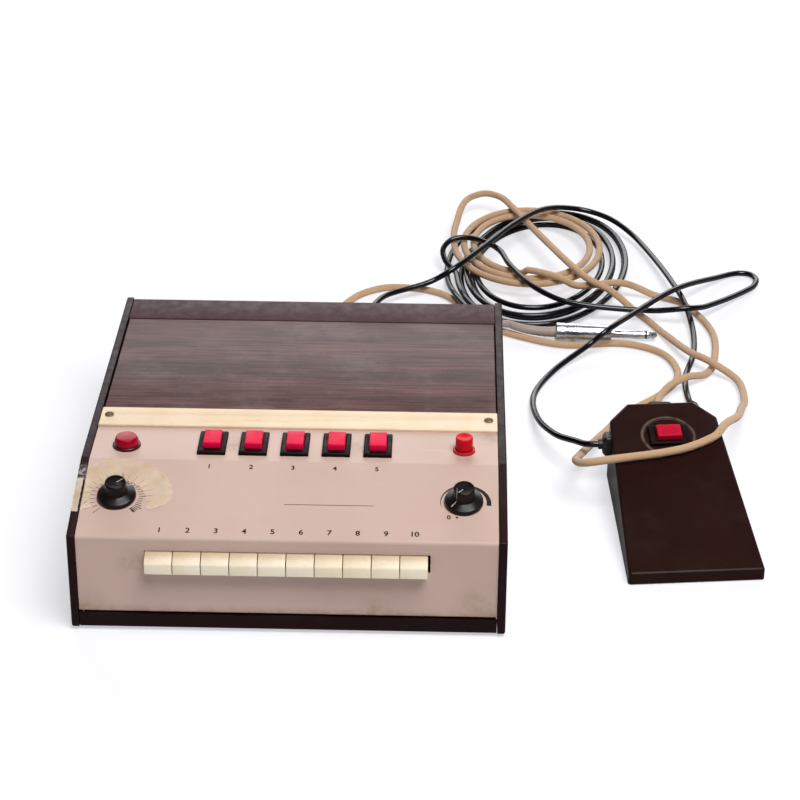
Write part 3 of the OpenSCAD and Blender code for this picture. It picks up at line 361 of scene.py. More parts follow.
def turned(profile, steps=64):
    """A solid turned about Z from a profile of radii and heights."""
    bm = bmesh.new()
    verts = [bm.verts.new((r, 0, z)) for r, z in profile]
    edges = [bm.edges.new(pair) for pair in zip(verts, verts[1:])]
    bmesh.ops.spin(bm, geom=verts + edges, cent=(0, 0, 0), axis=(0, 0, 1), angle=2 * math.pi,
                   steps=steps, use_merge=True)
    bmesh.ops.remove_doubles(bm, verts=bm.verts, dist=1e-6)
    bmesh.ops.recalc_face_normals(bm, faces=bm.faces)
    return bm


def soften(bm, width, angle=28, segments=2):
    """Rounds every edge that is sharper than the angle."""
    sharp_edges = [e for e in bm.edges
                   if len(e.link_faces) == 2 and e.calc_face_angle(0) > math.radians(angle)]
    bmesh.ops.bevel(bm, geom=sharp_edges, offset=width, affect="EDGES", segments=segments,
                    profile=0.5, material=-1, clamp_overlap=True)


def bright_metal(name, code, roughness, scratches):
    """Bare or plated metal, stained in places and rubbed along its length."""
    material, tree, shader, where = start_material(name, Metallic=1.0)
    own = where.outputs["Object"]
    marks = noise(tree, own, 300, 4, 0.6, (0.15, 1, 1))
    stain = noise(tree, own, 120, 3)
    tint = mixed(tree, between(tree, stain, 0.5, 0.8), colour(code), colour("8f8578"))
    feed(tree, shader.inputs["Base Color"], tint)
    feed(tree, shader.inputs["Roughness"], between(tree, marks, 0.3, 0.8, roughness, roughness + scratches))
    bumped(tree, shader, marks, 0.1, 0.0002)
    return material


chrome = bright_metal("plug_chrome", "eceff5", roughness=0.22, scratches=0.2)


def distance_from(tree, own, centre):
    """How far each point lies from a place."""
    node = tree.nodes.new("ShaderNodeVectorMath")
    node.operation = "DISTANCE"
    feed(tree, node.inputs[0], own)
    node.inputs[1].default_value = centre
    return node.outputs["Value"]


def patch(tree, own, centre, reach):
    """1 at a place, fading to 0 at a distance from it."""
    return between(tree, distance_from(tree, own, centre), 0.0, reach, 1.0, 0.0)


def moulding(name, code, worn_code, roughness=0.4, grain=500, depth=0.00006, dust=0.1, shine=0.5,
             scuff=None):
    """Moulded plastic, rubber or enamel: fine grain, wear in patches, some dust, maybe a pale scuff."""
    material, tree, shader, where = start_material(name, Specular_IOR_Level=shine)
    own = where.outputs["Object"]
    spot_share = between(tree, noise(tree, own, 60, 5, 0.7), 0.5, 0.85, 0.0, 0.6)
    tint = mixed(tree, spot_share, colour(code), colour(worn_code))
    if scuff:
        rubbed = between(tree, noise(tree, own, 420, 4, 0.7), 0.4, 0.6)
        tint = mixed(tree, maths(tree, "MULTIPLY", patch(tree, own, *scuff), rubbed), tint,
                     colour("a9a1a0"))
    rough = between(tree, noise(tree, own, 150, 3), 0.3, 0.7, roughness - 0.06, roughness + 0.1)
    dusted(tree, shader, own, tint, dust, rough)
    bumped(tree, shader, noise(tree, own, grain, 2), 0.35, depth)
    return material


rear_r = barrel_r - 0.0002
groove_r = rear_r - 0.0004
barrel = turned([(0, 0), (0.0058, 0), (rear_r, 0.0008), (rear_r, 0.0075),
                 (groove_r, 0.0078), (groove_r, 0.0088),
                 (barrel_r - 0.0003, 0.0091), (barrel_r - 0.0009, barrel_l - 0.003),
                 (barrel_r - 0.0014, barrel_l - 0.0009), (barrel_r - 0.0022, barrel_l),
                 (0, barrel_l)], 72)
soften(barrel, 0.00018)
jack_barrel = piece(barrel, "jack_barrel", chrome, place=on_jack,
                    stands_for=("jack_plug",))
tip = barrel_l + jack_l
contacts = turned([(0, barrel_l - 0.001), (shaft_r + 0.0012, barrel_l - 0.001),
                   (shaft_r + 0.0012, barrel_l + 0.0003), (shaft_r, barrel_l + 0.0006),
                   (shaft_r, tip - 0.0098), (shaft_r - 0.0006, tip - 0.0097),
                   (shaft_r - 0.0006, tip - 0.0084), (shaft_r, tip - 0.0083), (shaft_r, tip - 0.0065),
                   (shaft_r - 0.0009, tip - 0.0052), (shaft_r - 0.0007, tip - 0.0046),
                   (shaft_r, tip - 0.0036), (shaft_r - 0.0006, tip - 0.002), (0.0012, tip - 0.0004),
                   (0, tip)], 48)
jack_contacts = piece(contacts, "jack_shaft_and_tip", chrome, place=on_jack)
rubber_black = moulding("black_moulding", "141216", "2a272b", roughness=0.45)
insulator = turned([(shaft_r - 0.001, tip - 0.0097), (shaft_r - 0.0001, tip - 0.0097),
                    (shaft_r - 0.0001, tip - 0.0084), (shaft_r - 0.001, tip - 0.0084)], 48)
jack_insulator = piece(insulator, "jack_insulating_ring", rubber_black, place=on_jack)

sleeve_start = black_loops[0] - 0.005 * coil_way_in
sleeve_line = smooth_line([jack_place + 0.004 * (on_jack.to_3x3() @ Vector((0, 0, 1))), jack_place]
                          + metres([(170, 249, 5.7), (158, 250, 6.8), (148.5, 252.6, 8.1)])
                          + [sleeve_start, black_loops[0]], 0.0015)
sleeve_plug_r, sleeve_lead_r, sleeve_rib, rib_beat = 0.0042, 0.0029, 0.0001, 2.1
last = len(sleeve_line) - 1
sleeve_radii = [sleeve_plug_r + (sleeve_lead_r - sleeve_plug_r) * i / last
                + sleeve_rib * math.sin(rib_beat * i) for i in range(len(sleeve_line))]
sleeve_grey = moulding("sleeve_grey", "9c8b82", "b3a49b", roughness=0.5, dust=0.2)
jack_sleeve = piece(tube(sleeve_line, sleeve_radii, 20), "jack_sleeve_taper", sleeve_grey,
                    stands_for=("jack_sleeve",))

# ---------- audio lead and its plug ----------
# The same black cable from the rear panel, over the coil, to a round five-pole plug behind the foot
# switch: a black grip and a plated shell round its contacts.
rear_y = 0.1488
gland_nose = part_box("cord_glands")[1].y - rear_y
audio_exit = Vector((0.022, rear_y + gland_nose, 0.026))
audio_plug_end = Vector((0.278, 0.124, 0.0055))
audio_route = [audio_exit, audio_exit + Vector((0, 0.006, 0))] + metres([
    (27, 225, 12), (44, 300, 7), (82, 325, 9.5), (101, 331, 19), (122, 359, 23), (152, 410, 24),
    (178, 444, 21.5), (208, 460, 14), (234, 449, 10), (256, 416, 5), (281, 310, 9), (287, 268, 3),
    (285, 228, 0.5), (275, 186, 0.5), (275, 150, 1),
]) + [audio_plug_end + Vector((0, 0.01, 0)), audio_plug_end]
audio_line = resting(smooth_line(audio_route), black_d)
audio_lead = piece(tube(audio_line, [black_d / 2] * len(audio_line)), "audio_lead_cable", black,
                   stands_for=("audio_lead",))


def dress(material, *names):
    """Gives CAD parts their finish; their shape stays."""
    for n in names:
        mesh = frame["nodes"][n].data
        mesh.materials.clear()
        mesh.materials.append(material)


def metal_front(node, metal, front_y):
    """The part of a plug that stands out in front of its body gets bare metal."""
    mesh = frame["nodes"][node].data
    mesh.materials.append(metal)
    for face in mesh.polygons:
        face.material_index = 1 if face.center.y < front_y else 0


plug_black = moulding("plug_black", "110e0e", "1c1819", roughness=0.45, shine=0.2)
dress(plug_black, "audio_plug")
audio_grip_front = 0.0855
plug_nickel = bright_metal("plug_nickel", "c9ccd2", roughness=0.25, scratches=0.2)
metal_front("audio_plug", plug_nickel, audio_grip_front)

# ---------- mains lead and its plug ----------
# Tan cotton braid over rubber, 5.5 mm thick. It runs past and over the foot switch, winds two loops on
# the black coil, and ends in a flat black plug with two brass pins.
tan_d = 0.0055


def tan_coil(angle):
    """The loops' line, which draws in as it goes round."""
    centre_x, centre_y, rx, ry, height, drawn_in = 163, 394, 62, 76, 11, 0.13
    size = 1 - drawn_in * angle / 360
    a = math.radians(angle)
    return (centre_x - rx * size * math.cos(a), centre_y - ry * size * math.sin(a), height)


tan_end_angle = 792
tan_step = 4
tan_loops = metres([tan_coil(a) for a in range(0, tan_end_angle + 1, tan_step)])
tan_way_in = (tan_loops[1] - tan_loops[0]).normalized()
tan_way_out = (tan_loops[-1] - tan_loops[-2]).normalized()
mains_exit = Vector((-0.012, rear_y + gland_nose, 0.026))
mains_plug_end = Vector((0.251, 0.135, 0.00485))
mains_route = [mains_exit, mains_exit + Vector((0, 0.007, 0))] + metres([
    (-3, 235, 8), (22, 312, 1), (50, 331, 1), (92, 320, 1), (124, 269, 1), (165, 243, 1),
    (190, 236, 1), (232, 240, 1), (261, 224, 1), (270, 192, 1), (258, 164, 1), (228, 131, 1),
    (209, 96, 4), (188, 37, 19.5), (185, 20, 26), (189, 6, 32.5), (202, 3, 36.4), (254, 17, 37.6),
    (279, 30, 41), (287, 43, 43), (299, 70, 34), (307, 108, 19), (315, 150, 4), (313, 182, 2.5),
    (294, 199, 8.5), (280, 216, 7.5), (262, 262, 1), (247, 290, 1), (226, 308, 12),
    (206, 319, 18.5), (176, 390, 17), (150, 456, 17), (140, 479, 16), (126, 488, 15),
    (111, 478, 13), (103, 438, 11),
]) + [tan_loops[0] - 0.008 * tan_way_in, tan_loops[0]]
mains_end_route = [tan_loops[-1], tan_loops[-1] + 0.0065 * tan_way_out] + metres([
    (160, 334, 17), (185, 321, 17), (199, 317, 12), (236, 325, 11), (262, 322, 2), (283, 310, 1),
    (302, 262, 1), (299, 212, 1), (291, 192, 1.5), (276, 176, 7.5), (262, 163, 7.5),
    (253, 149, 5.5),
]) + [mains_plug_end + Vector((0, 0.006, 0)), mains_plug_end]
mains_line = resting(smooth_line(mains_route) + tan_loops[1:-1] + smooth_line(mains_end_route), tan_d)


def tan_braid():
    """Cotton threads that cross each other round the lead, with painted highlights on the threads and
    painted shade in the gaps between them, soiled in patches.
    """
    material, tree, shader, where = start_material("tan_braid", Roughness=0.85, Sheen_Weight=0.3,
                                                   Specular_IOR_Level=0.2)
    place = axes(tree, where.outputs["UV"])
    threads, pitch, starts = 12, 0.0042, 3
    round_it = maths(tree, "MULTIPLY", place[0], 2 * math.pi * threads)
    along_it = maths(tree, "MULTIPLY", place[1], 2 * math.pi / pitch * starts)
    one = maths(tree, "SINE", maths(tree, "ADD", round_it, along_it))
    other = maths(tree, "SINE", maths(tree, "SUBTRACT", round_it, along_it))
    crossing = maths(tree, "MAXIMUM", one, other)
    # Painted light and shade: the raised crossings paler, the gaps between the threads darker
    threads_lit_and_shaded = mixed(tree, between(tree, crossing, -0.4, 0.6), colour("946c4a"), colour("dab48e"))
    soil = between(tree, noise(tree, where.outputs["Object"], 28, 4, 0.6), 0.5, 0.85, 0.0, 0.4)
    feed(tree, shader.inputs["Base Color"], mixed(tree, soil, threads_lit_and_shaded, colour("9c7550")))
    bumped(tree, shader, crossing, 0.6, 0.0003)
    return material


braid = tan_braid()
mains_lead = piece(tube(mains_line, [tan_d / 2] * len(mains_line)), "mains_lead_cable", braid,
                   stands_for=("mains_lead_run", "mains_lead_loops", "mains_lead_end"))
dress(plug_black, "mains_plug")
mains_body_front = 0.085
pin_brass = bright_metal("pin_brass", "c2a45c", roughness=0.3, scratches=0.2)
metal_front("mains_plug", pin_brass, mains_body_front)

# ---------- floor and light ----------
# A white table top. A large soft light hangs high in front, on the right, and a lit white backdrop far
# behind gives the faces that look up their sheen. The white room round them adds a little light.
floor_side = 8.0
floor = bmesh.new()
bmesh.ops.create_grid(floor, x_segments=1, y_segments=1, size=floor_side / 2)
floor_mesh = bpy.data.meshes.new("table_top")
floor.to_mesh(floor_mesh)
floor.free()
table_top = bpy.data.objects.new("table_top", floor_mesh)
table_top.location = (0.1, 0.1, floor_z - 0.0001)
scene.collection.objects.link(table_top)

white, tree, shader, where = start_material("white_table", Roughness=0.7, Specular_IOR_Level=0.1)
shader.inputs["Base Color"].default_value = (0.42, 0.42, 0.43, 1)
# The camera sees a paler table towards the backdrop, and the object gets its bounce
shader.inputs["Emission Color"].default_value = (0.96, 0.96, 1, 1)
glow_from, glow_full = 0.25, 1.4
glow_near, glow_far, bounce = 0.56, 0.88, 0.45
seen = tree.nodes.new("ShaderNodeLightPath")
from_middle = tree.nodes.new("ShaderNodeVectorMath")
from_middle.operation = "LENGTH"
feed(tree, from_middle.inputs[0], where.outputs["Object"])
paler = between(tree, from_middle.outputs["Value"], glow_from, glow_full, glow_near, glow_far)
bounced = maths(tree, "MULTIPLY", seen.outputs["Is Diffuse Ray"], bounce)
feed(tree, shader.inputs["Emission Strength"],
     maths(tree, "ADD", maths(tree, "MULTIPLY", seen.outputs["Is Camera Ray"], paler), bounced))
floor_mesh.materials.append(white)

world = bpy.data.worlds.new("white_room")
scene.world = world
world.use_nodes = True
tree = world.node_tree
background = tree.nodes["Background"]
background.inputs["Color"].default_value = (1, 1, 1, 1)
seen = tree.nodes.new("ShaderNodeLightPath")
compass = axes(tree, tree.nodes.new("ShaderNodeTexCoord").outputs["Generated"])
room_light, front_gleam, rear_gleam, top_share = 0.03, 0.02, 0.16, 0.6
mirrored = maths(tree, "MULTIPLY",
                 between(tree, compass[1], -0.3, 0.6, front_gleam, rear_gleam),
                 between(tree, compass[2], 0.6, 0.85, 1.0, top_share))
strength = maths(tree, "ADD",
                 maths(tree, "MULTIPLY", maths(tree, "SUBTRACT", 1.0, seen.outputs["Is Glossy Ray"]),
                       room_light),
                 maths(tree, "MULTIPLY", seen.outputs["Is Glossy Ray"], mirrored))
feed(tree, background.inputs["Strength"],
     maths(tree, "MAXIMUM", strength, seen.outputs["Is Camera Ray"]))


def soft_light(name, place, aim, size, power):
    """A rectangular lamp of a size in metres and a power in watts, turned towards a point."""
    data = bpy.data.lights.new(name, "AREA")
    data.shape = "RECTANGLE"
    data.size, data.size_y = size
    data.energy = power
    lamp = bpy.data.objects.new(name, data)
    lamp.location = place
    lamp.rotation_euler = (Vector(aim) - Vector(place)).to_track_quat("-Z", "Y").to_euler()
    lamp.visible_camera = False
    scene.collection.objects.link(lamp)


soft_light("high_key", place=(0.55, -0.75, 1.95), aim=(0.1, 0.0, 0), size=(1.2, 1.2), power=53)
soft_light("lit_backdrop", place=(0.1, 2.4, 1.2), aim=(0.1, 0, 0.1), size=(3.0, 1.5), power=39)

# ---------- case: side cheeks, base tray, rear panel ----------
# Dark brown moulded side panels with a fine grain, the left one scuffed beside the tape. The tray and
# the rear panel between them are folded steel in brown enamel, on four rubber feet.
node_body = {n: b for b, names in frame["record"]["behaviour"]["bodies"].items() for n in names}


def softened(node, width, material, segments=2, angle=28):
    """A piece that stands for a CAD part: the same solid with its sharp edges rounded."""
    bm = bmesh.new()
    bm.from_mesh(frame["nodes"][node].data)
    bmesh.ops.remove_doubles(bm, verts=bm.verts, dist=2e-6)
    bmesh.ops.dissolve_limit(bm, angle_limit=math.radians(1), verts=bm.verts, edges=bm.edges)
    soften(bm, width, angle, segments)
    return piece(bm, node + "_softened", material, node_body[node], stands_for=(node,))


scuffed_place, scuff_reach = (-0.132, -0.0915, 0.0775), 0.011
cheek_brown = moulding("cheek_brown", "1f0506", "2d0f10", roughness=0.45, grain=900, depth=0.0001,
                       dust=0.03, shine=0.15, scuff=(scuffed_place, scuff_reach))
for side in ("left", "right"):
    softened(side + "_cheek", 0.0005, cheek_brown)
tray_brown = moulding("tray_enamel", "1c0304", "260909", grain=300, depth=0.00003, dust=0.03,
                      shine=0.15)
dress(tray_brown, "base_tray", "rear_panel")
foot_rubber = moulding("foot_rubber", "191717", "2a2827", roughness=0.7, dust=0.3)
dress(foot_rubber, "rubber_feet")

# ---------- fascia ----------
# One sheet of steel, folded at the deck and at the front, in beige enamel. It is finely scratched, and
# stained along its foot, at its lower corners and behind the buttons.
deck_z = 0.0788
slope_foot = Vector((0, -0.14535, 0.06402))
slope_rise, slope_run = 15, 70
slope_angle = math.atan2(slope_rise, slope_run)


def on_slope(x, up, lift=0.0):
    """A place on the slope's painted face: across, up from the lower bend, and off the face."""
    return (Matrix.Translation(slope_foot) @ Matrix.Rotation(slope_angle, 4, "X")
            @ Matrix.Translation((x, up, lift)))


# Places of the stains and how far each reaches
stains = (((-0.124, -0.148, 0.010), 0.022), ((0.122, -0.148, 0.014), 0.03),
          ((0.055, -0.149, 0.012), 0.018), ((-0.096, -0.146, 0.046), 0.013),
          ((0.040, -0.057, deck_z), 0.016), ((-0.0395, -0.055, deck_z), 0.014),
          ((0.124, -0.042, deck_z), 0.014), ((0.108, -0.070, deck_z), 0.012))
stained_foot_z, clean_z = 0.011, 0.018


def fascia_enamel():
    """Beige enamel with cloudy stains at known places, and fine scratches."""
    material, tree, shader, where = start_material("fascia_enamel", Specular_IOR_Level=0.3)
    own = where.outputs["Object"]
    clouds = between(tree, noise(tree, own, 9, 5, 0.6), 0.3, 0.75)
    tint = mixed(tree, clouds, colour("caafa3"), colour("c1a599"))
    cloudy = between(tree, noise(tree, own, 90, 5, 0.7), 0.35, 0.7, 0.15, 0.7)
    for centre, reach in stains:
        grime = maths(tree, "MULTIPLY", patch(tree, own, centre, reach), cloudy)
        tint = mixed(tree, grime, tint, colour("98836a"))
    low = between(tree, axes(tree, own)[2], stained_foot_z, clean_z, 1.0, 0.0)
    along_foot = maths(tree, "MULTIPLY", low, cloudy)
    tint = mixed(tree, along_foot, tint, colour("917a5f"))
    scratch = between(tree, noise(tree, own, 700, 2, 0.5, (0.04, 1, 1)), 0.72, 0.76, 0.0, 0.25)
    tint = mixed(tree, scratch, tint, colour("d8cabf"))
    dusted(tree, shader, own, tint, 0.12, 0.45, Dust=colour("94847a"))
    bumped(tree, shader, noise(tree, own, 450, 2), 0.2, 0.00005)
    return material


dress(fascia_enamel(), "fascia_panel")

# ---------- printed marks ----------
# Screen-printed in dark brown on the fascia: a number over each key and under each push button, the
# tempo scale's ticks, closer at the fast end, the volume scale, a crescent that grows clockwise from
# its 0, and a thin rule.
knob_x, knob_up = 0.108, 0.0355
button_pitch, button_count = 0.0265, 5
key_pitch, key_count = 0.0174, 10
first_key_x = -key_count * key_pitch / 2 - 0.0003
ink_lift = 0.00006
ink = moulding("printing_ink", "201112", "3a2625", roughness=0.5, dust=0.0, shine=0.2)
key_number_h, key_numbers_up = 0.0058, 0.0068
button_number_h, button_numbers_up = 0.0052, 0.0645
stroke_gain = 0.025
print_marks = bmesh.new()


def add_number(words, size, across_panel, up):
    """A printed number, centred on a place of the slope."""
    data = bpy.data.curves.new("mark", "FONT")
    data.body = words
    data.size = size
    data.align_x = "CENTER"
    data.align_y = "CENTER"
    data.offset = size * stroke_gain
    lettering = bpy.data.objects.new("mark", data)
    mesh = bpy.data.meshes.new_from_object(lettering)
    mesh.transform(on_slope(across_panel, up, ink_lift))
    print_marks.from_mesh(mesh)
    bpy.data.objects.remove(lettering)
    bpy.data.meshes.remove(mesh)


def add_point(across_panel, up):
    """A corner of a printed shape on the slope."""
    return print_marks.verts.new(on_slope(across_panel, up, ink_lift).translation)


def add_band(centre_x, centre_up, start, end, inner, outer, steps):
    """A flat band round a point, in degrees clockwise from the top, with an outer radius for each end."""
    rims = []
    for i in range(steps + 1):
        share = i / steps
        a = math.radians(start + (end - start) * share)
        far = outer[0] + (outer[1] - outer[0]) * share
        rims.append([add_point(centre_x + r * math.sin(a), centre_up + r * math.cos(a))
                     for r in (inner, far)])
    for a, b in zip(rims, rims[1:]):
        print_marks.faces.new((a[0], b[0], b[1], a[1]))


for i in range(key_count):
    add_number(str(i + 1), key_number_h, first_key_x + (i + 0.5) * key_pitch, key_numbers_up)
for i in range(button_count):
    add_number(str(i + 1), button_number_h, (i - (button_count - 1) / 2) * button_pitch,
               button_numbers_up)

# The ticks crowd and thicken towards the fast end
tick_count, tick_start, tick_sweep = 30, -138, 276
tick_foot, tick_head, longer, longest = 0.0136, 0.0168, 0.0014, 0.0012
crowding, thin, thicker, thicker_from = 1.45, 0.75, 0.7, 0.55
for i in range(tick_count):
    share = i / (tick_count - 1)
    turn = tick_start + tick_sweep * (1 - (1 - share) ** crowding)
    half_width = thin + thicker * max(0, share - thicker_from)
    tick_end = tick_head + (longer if i % 5 == 0 else 0) + (longest if i == 0 or share > 0.8 else 0)
    add_band(-knob_x, knob_up, turn - half_width, turn + half_width, tick_foot, (tick_end, tick_end),
             steps=1)

crescent_start, crescent_end, crescent_inner = -108, 98, 0.0142
add_band(knob_x, knob_up, crescent_start, crescent_end, crescent_inner, (0.0144, 0.0172), steps=48)
off_dot_x, off_zero_x, off_up, off_number_h, dot_r = 0.1038, 0.0988, 0.0222, 0.0048, 0.0008
add_band(off_dot_x, off_up, 0, 360, 0.0, (dot_r, dot_r), steps=20)
add_number("0", off_number_h, off_zero_x, off_up)

rule_left, rule_right, rule_low, rule_high = -0.0035, 0.0523, 0.03105, 0.03145
print_marks.faces.new([add_point(x, up) for x, up in (
    (rule_left, rule_low), (rule_right, rule_low), (rule_right, rule_high), (rule_left, rule_high))])
bmesh.ops.remove_doubles(print_marks, verts=print_marks.verts, dist=1e-7)
piece(print_marks, "printed_marks", ink)

# ---------- masking tape ----------
# Old paper tape, torn into a fan of scraps round the tempo knob and stuck over the left cheek's edge. It
# is wrinkled, split along the joint between panel and cheek, and has pen strokes drawn on it.
tape_t, tape_lift = 0.00014, 0.0001
fan_start, fan_end, fan_narrows = -121, 118, 92
fan_inner, fan_outer, top_reach, end_inner, end_outer = 0.0178, 0.0343, 0.003, 0.0045, 0.0095
joint_x, joint_gap = 0.0218, 0.0006
tape_up_low, tape_up_high = -0.0151, 0.0149
strip_left, strip_w, cheek_step = -0.0266, 0.0039, 0.0012
tape = bmesh.new()
tape_uv = tape.loops.layers.uv.new("round_and_out")


def torn(a):
    """The ragged edge of torn paper, in metres."""
    return 0.00028 * (math.sin(1.9 * a) + 0.7 * math.sin(4.3 * a + 1) + 0.5 * math.sin(9.7 * a + 2))


def wrinkle(x, y):
    """How far the old paper stands off the panel."""
    fold = (math.sin(900 * x + 500 * y) + math.sin(1500 * y - 700 * x + 1.3)
            + math.sin(420 * x - 1100 * y + 0.4))
    return tape_lift + 0.00005 * (3 + fold)


def tape_sheet(columns, rows, spot):
    """A net of faces over a sheet of paper; spot(i, j) gives place, height and pattern coordinates."""
    net = [[spot(i / columns, j / rows) for j in range(rows + 1)] for i in range(columns + 1)]
    verts = [[tape.verts.new(on_slope(*place).translation) for place, _ in column] for column in net]
    for i in range(columns):
        for j in range(rows):
            corners = ((i, j), (i + 1, j), (i + 1, j + 1), (i, j + 1))
            face = tape.faces.new([verts[a][b] for a, b in corners])
            for loop, (a, b) in zip(face.loops, corners):
                loop[tape_uv].uv = net[a][b][1]


def fan_spot(i, j):
    """The fan round the knob, cut off at the cheek's joint and torn narrower at its lower right end."""
    angle = fan_start + (fan_end - fan_start) * i
    a = math.radians(angle)
    inner = fan_inner - top_reach * max(0, math.cos(a)) + torn(angle / 5)
    outer = fan_outer + torn(angle / 7 + 3)
    if angle < 0:
        outer = min(outer, (joint_x - joint_gap) / max(0.1, -math.sin(a)) + 0.6 * torn(angle / 3))
    if angle > fan_narrows:
        inner += end_inner * (angle - fan_narrows) / (fan_end - fan_narrows)
        outer -= end_outer * (angle - fan_narrows) / (fan_end - fan_narrows)
    r = inner + (outer - inner) * j
    x, y = r * math.sin(a), r * math.cos(a)
    return (x - knob_x, y + knob_up, wrinkle(x, y)), (angle / 360, r)


def edge_spot(i, j):
    """The strip on the cheek's top, which stands higher than the panel."""
    x = strip_left + strip_w * j + 0.4 * torn(17 * i)
    y = tape_up_low + (tape_up_high - tape_up_low) * i + 0.8 * torn(3 * j + 9 * round(i))
    return (x - knob_x, y + knob_up, cheek_step + wrinkle(x, y)), (0.8 + 0.1 * i, abs(x))


tape_sheet(columns=120, rows=10, spot=fan_spot)
tape_sheet(columns=24, rows=6, spot=edge_spot)
bmesh.ops.solidify(tape, geom=tape.faces[:], thickness=tape_t)
bmesh.ops.recalc_face_normals(tape, faces=tape.faces)


def tape_paper():
    """Yellowed crumpled paper with pen strokes that point at the knob."""
    material, tree, shader, where = start_material("tape_paper", Roughness=0.8, Specular_IOR_Level=0.2)
    own = where.outputs["Object"]
    crumple = noise(tree, own, 260, 5, 0.65)
    aged = noise(tree, own, 70, 4, 0.6)
    tint = mixed(tree, between(tree, aged, 0.35, 0.7), colour("faead6"), colour("f0dabf"))
    tint = mixed(tree, between(tree, crumple, 0.6, 0.74, 0.0, 0.4), tint, colour("d6bb9b"))
    place = axes(tree, where.outputs["UV"])
    strokes_round, stroke_from, stroke_to = 26, 0.0255, 0.0275
    spokes = maths(tree, "SINE", maths(tree, "MULTIPLY", place[0], 2 * math.pi * strokes_round))
    near = between(tree, maths(tree, "ADD", place[1], maths(tree, "MULTIPLY", aged, 0.01)),
                   stroke_from, stroke_to, 1.0, 0.0)
    strokes = maths(tree, "MULTIPLY", between(tree, spokes, 0.975, 0.995), near)
    tint = mixed(tree, maths(tree, "MULTIPLY", strokes, 0.65), tint, colour("4a3a35"))
    feed(tree, shader.inputs["Base Color"], tint)
    bumped(tree, shader, crumple, 0.4, 0.00015)
    return material


piece(tape, "masking_tape", tape_paper(), sharp=80)

# ---------- wood panel and strips ----------
# A grey-brown laminate with printed grain along the machine's width, dusty. Behind it lies a plain brown
# strip, in front of it a cream plastic trim strip that two tarnished screws hold.


def wood_laminate():
    """Printed wood grain: broad bands, fine streaks and dark pores, all drawn out along X."""
    material, tree, shader, where = start_material("wood_laminate", Specular_IOR_Level=0.2)
    own = where.outputs["Object"]
    broad = noise(tree, own, 60, 4, 0.6, (0.08, 1, 1))
    fine = noise(tree, own, 520, 3, 0.65, (0.03, 1, 1))
    pores = between(tree, noise(tree, own, 900, 2, 0.5, (0.05, 1, 1)), 0.6, 0.7)
    tint = mixed(tree, between(tree, broad, 0.3, 0.7), colour("4e3233"), colour("684746"))
    tint = mixed(tree, between(tree, fine, 0.42, 0.62, 0.0, 0.7), tint, colour("33211f"))
    tint = mixed(tree, maths(tree, "MULTIPLY", pores, 0.6), tint, colour("261819"))
    dusted(tree, shader, own, tint, 0.24, 0.45)
    bumped(tree, shader, fine, 0.25, 0.0001)
    return material


softened("wood_panel", 0.0003, wood_laminate())
strip_brown = moulding("strip_brown", "42282b", "4d3236", roughness=0.5, grain=900, depth=0.0001,
                       dust=0.1, shine=0.2)
softened("rear_strip", 0.0003, strip_brown)


def cream_plastic(name, code, yellow_code, roughness, shade_from=None):
    """Cream plastic, yellowed unevenly, with fine rubbing marks. Given a depth, a brown band of painted
    shade and grime lies behind it, then darker painted shade; painted shade also browns the flanks and
    darkens the tops."""
    material, tree, shader, where = start_material(name, Specular_IOR_Level=0.3)
    own = where.outputs["Object"]
    aged = between(tree, noise(tree, own, 35, 5, 0.65), 0.35, 0.75)
    tint = mixed(tree, maths(tree, "MULTIPLY", aged, 0.7), colour(code), colour(yellow_code))
    rubbed = between(tree, noise(tree, own, 800, 2, 0.5, (0.1, 1, 1)), 0.66, 0.72, 0.0, 0.3)
    if shade_from is not None:
        depth = axes(tree, own)[1]
        back = maths(tree, "ADD", depth,
                     maths(tree, "MULTIPLY", noise(tree, own, 170, 4, 0.7), 0.003))
        # Painted shade: a brown band with grime before the slot, then dark shade inside the slot
        shade_and_grime = between(tree, back, shade_from - 0.0015, shade_from + 0.0035, 0.0, 0.75)
        tint = mixed(tree, shade_and_grime, tint, colour("b3946c"))
        in_shade = between(tree, depth, shade_from + 0.0022, shade_from + 0.003)
        tint = mixed(tree, in_shade, tint, colour("2a1d16"))
        # Painted shade: the flanks between the keys turn brown, and the tops that look up grow darker
        normal = axes(tree, tree.nodes.new("ShaderNodeNewGeometry").outputs["Normal"])
        shaded_flank = between(tree, maths(tree, "ABSOLUTE", normal[0]), 0.35, 0.9, 0.0, 0.85)
        tint = mixed(tree, shaded_flank, tint, colour("8c6430"))
        shaded_top = between(tree, normal[2], 0.5, 0.95, 0.0, 0.45)
        tint = mixed(tree, shaded_top, tint, colour("c8b393"))
    tint = mixed(tree, rubbed, tint, colour("b99f77"))
    dusted(tree, shader, own, tint, 0.18, roughness, Dust=colour("a58f70"))
    bumped(tree, shader, noise(tree, own, 300, 3), 0.15, 0.00004)
    return material


softened("trim_strip", 0.0002, cream_plastic("trim_cream", "e6cfb2", "dcc19a", 0.42))
dress(bright_metal("aged_brass", "82735c", roughness=0.45, scratches=0.3), "trim_screws")

# ---------- selector keys ----------
# Ten cream keys side by side, each a moulded block with a bevelled front, sprung in a steel guide frame
# behind the slot.
key_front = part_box("key_1")[0].y
# The keys get painted shade towards the slot, on their flanks and on their tops
slot_behind_front, shade_before_slot = 0.0076, 0.003
key_cream = cream_plastic("key_cream", "f8ecd6", "f0deba", 0.4,
                          key_front + slot_behind_front - shade_before_slot)
for i in range(1, key_count + 1):
    softened(f"key_{i}", 0.00035, key_cream, 3)
zinc = bright_metal("zinc_plate", "b9b5ac", roughness=0.3, scratches=0.2)
dress(zinc, "key_frame")

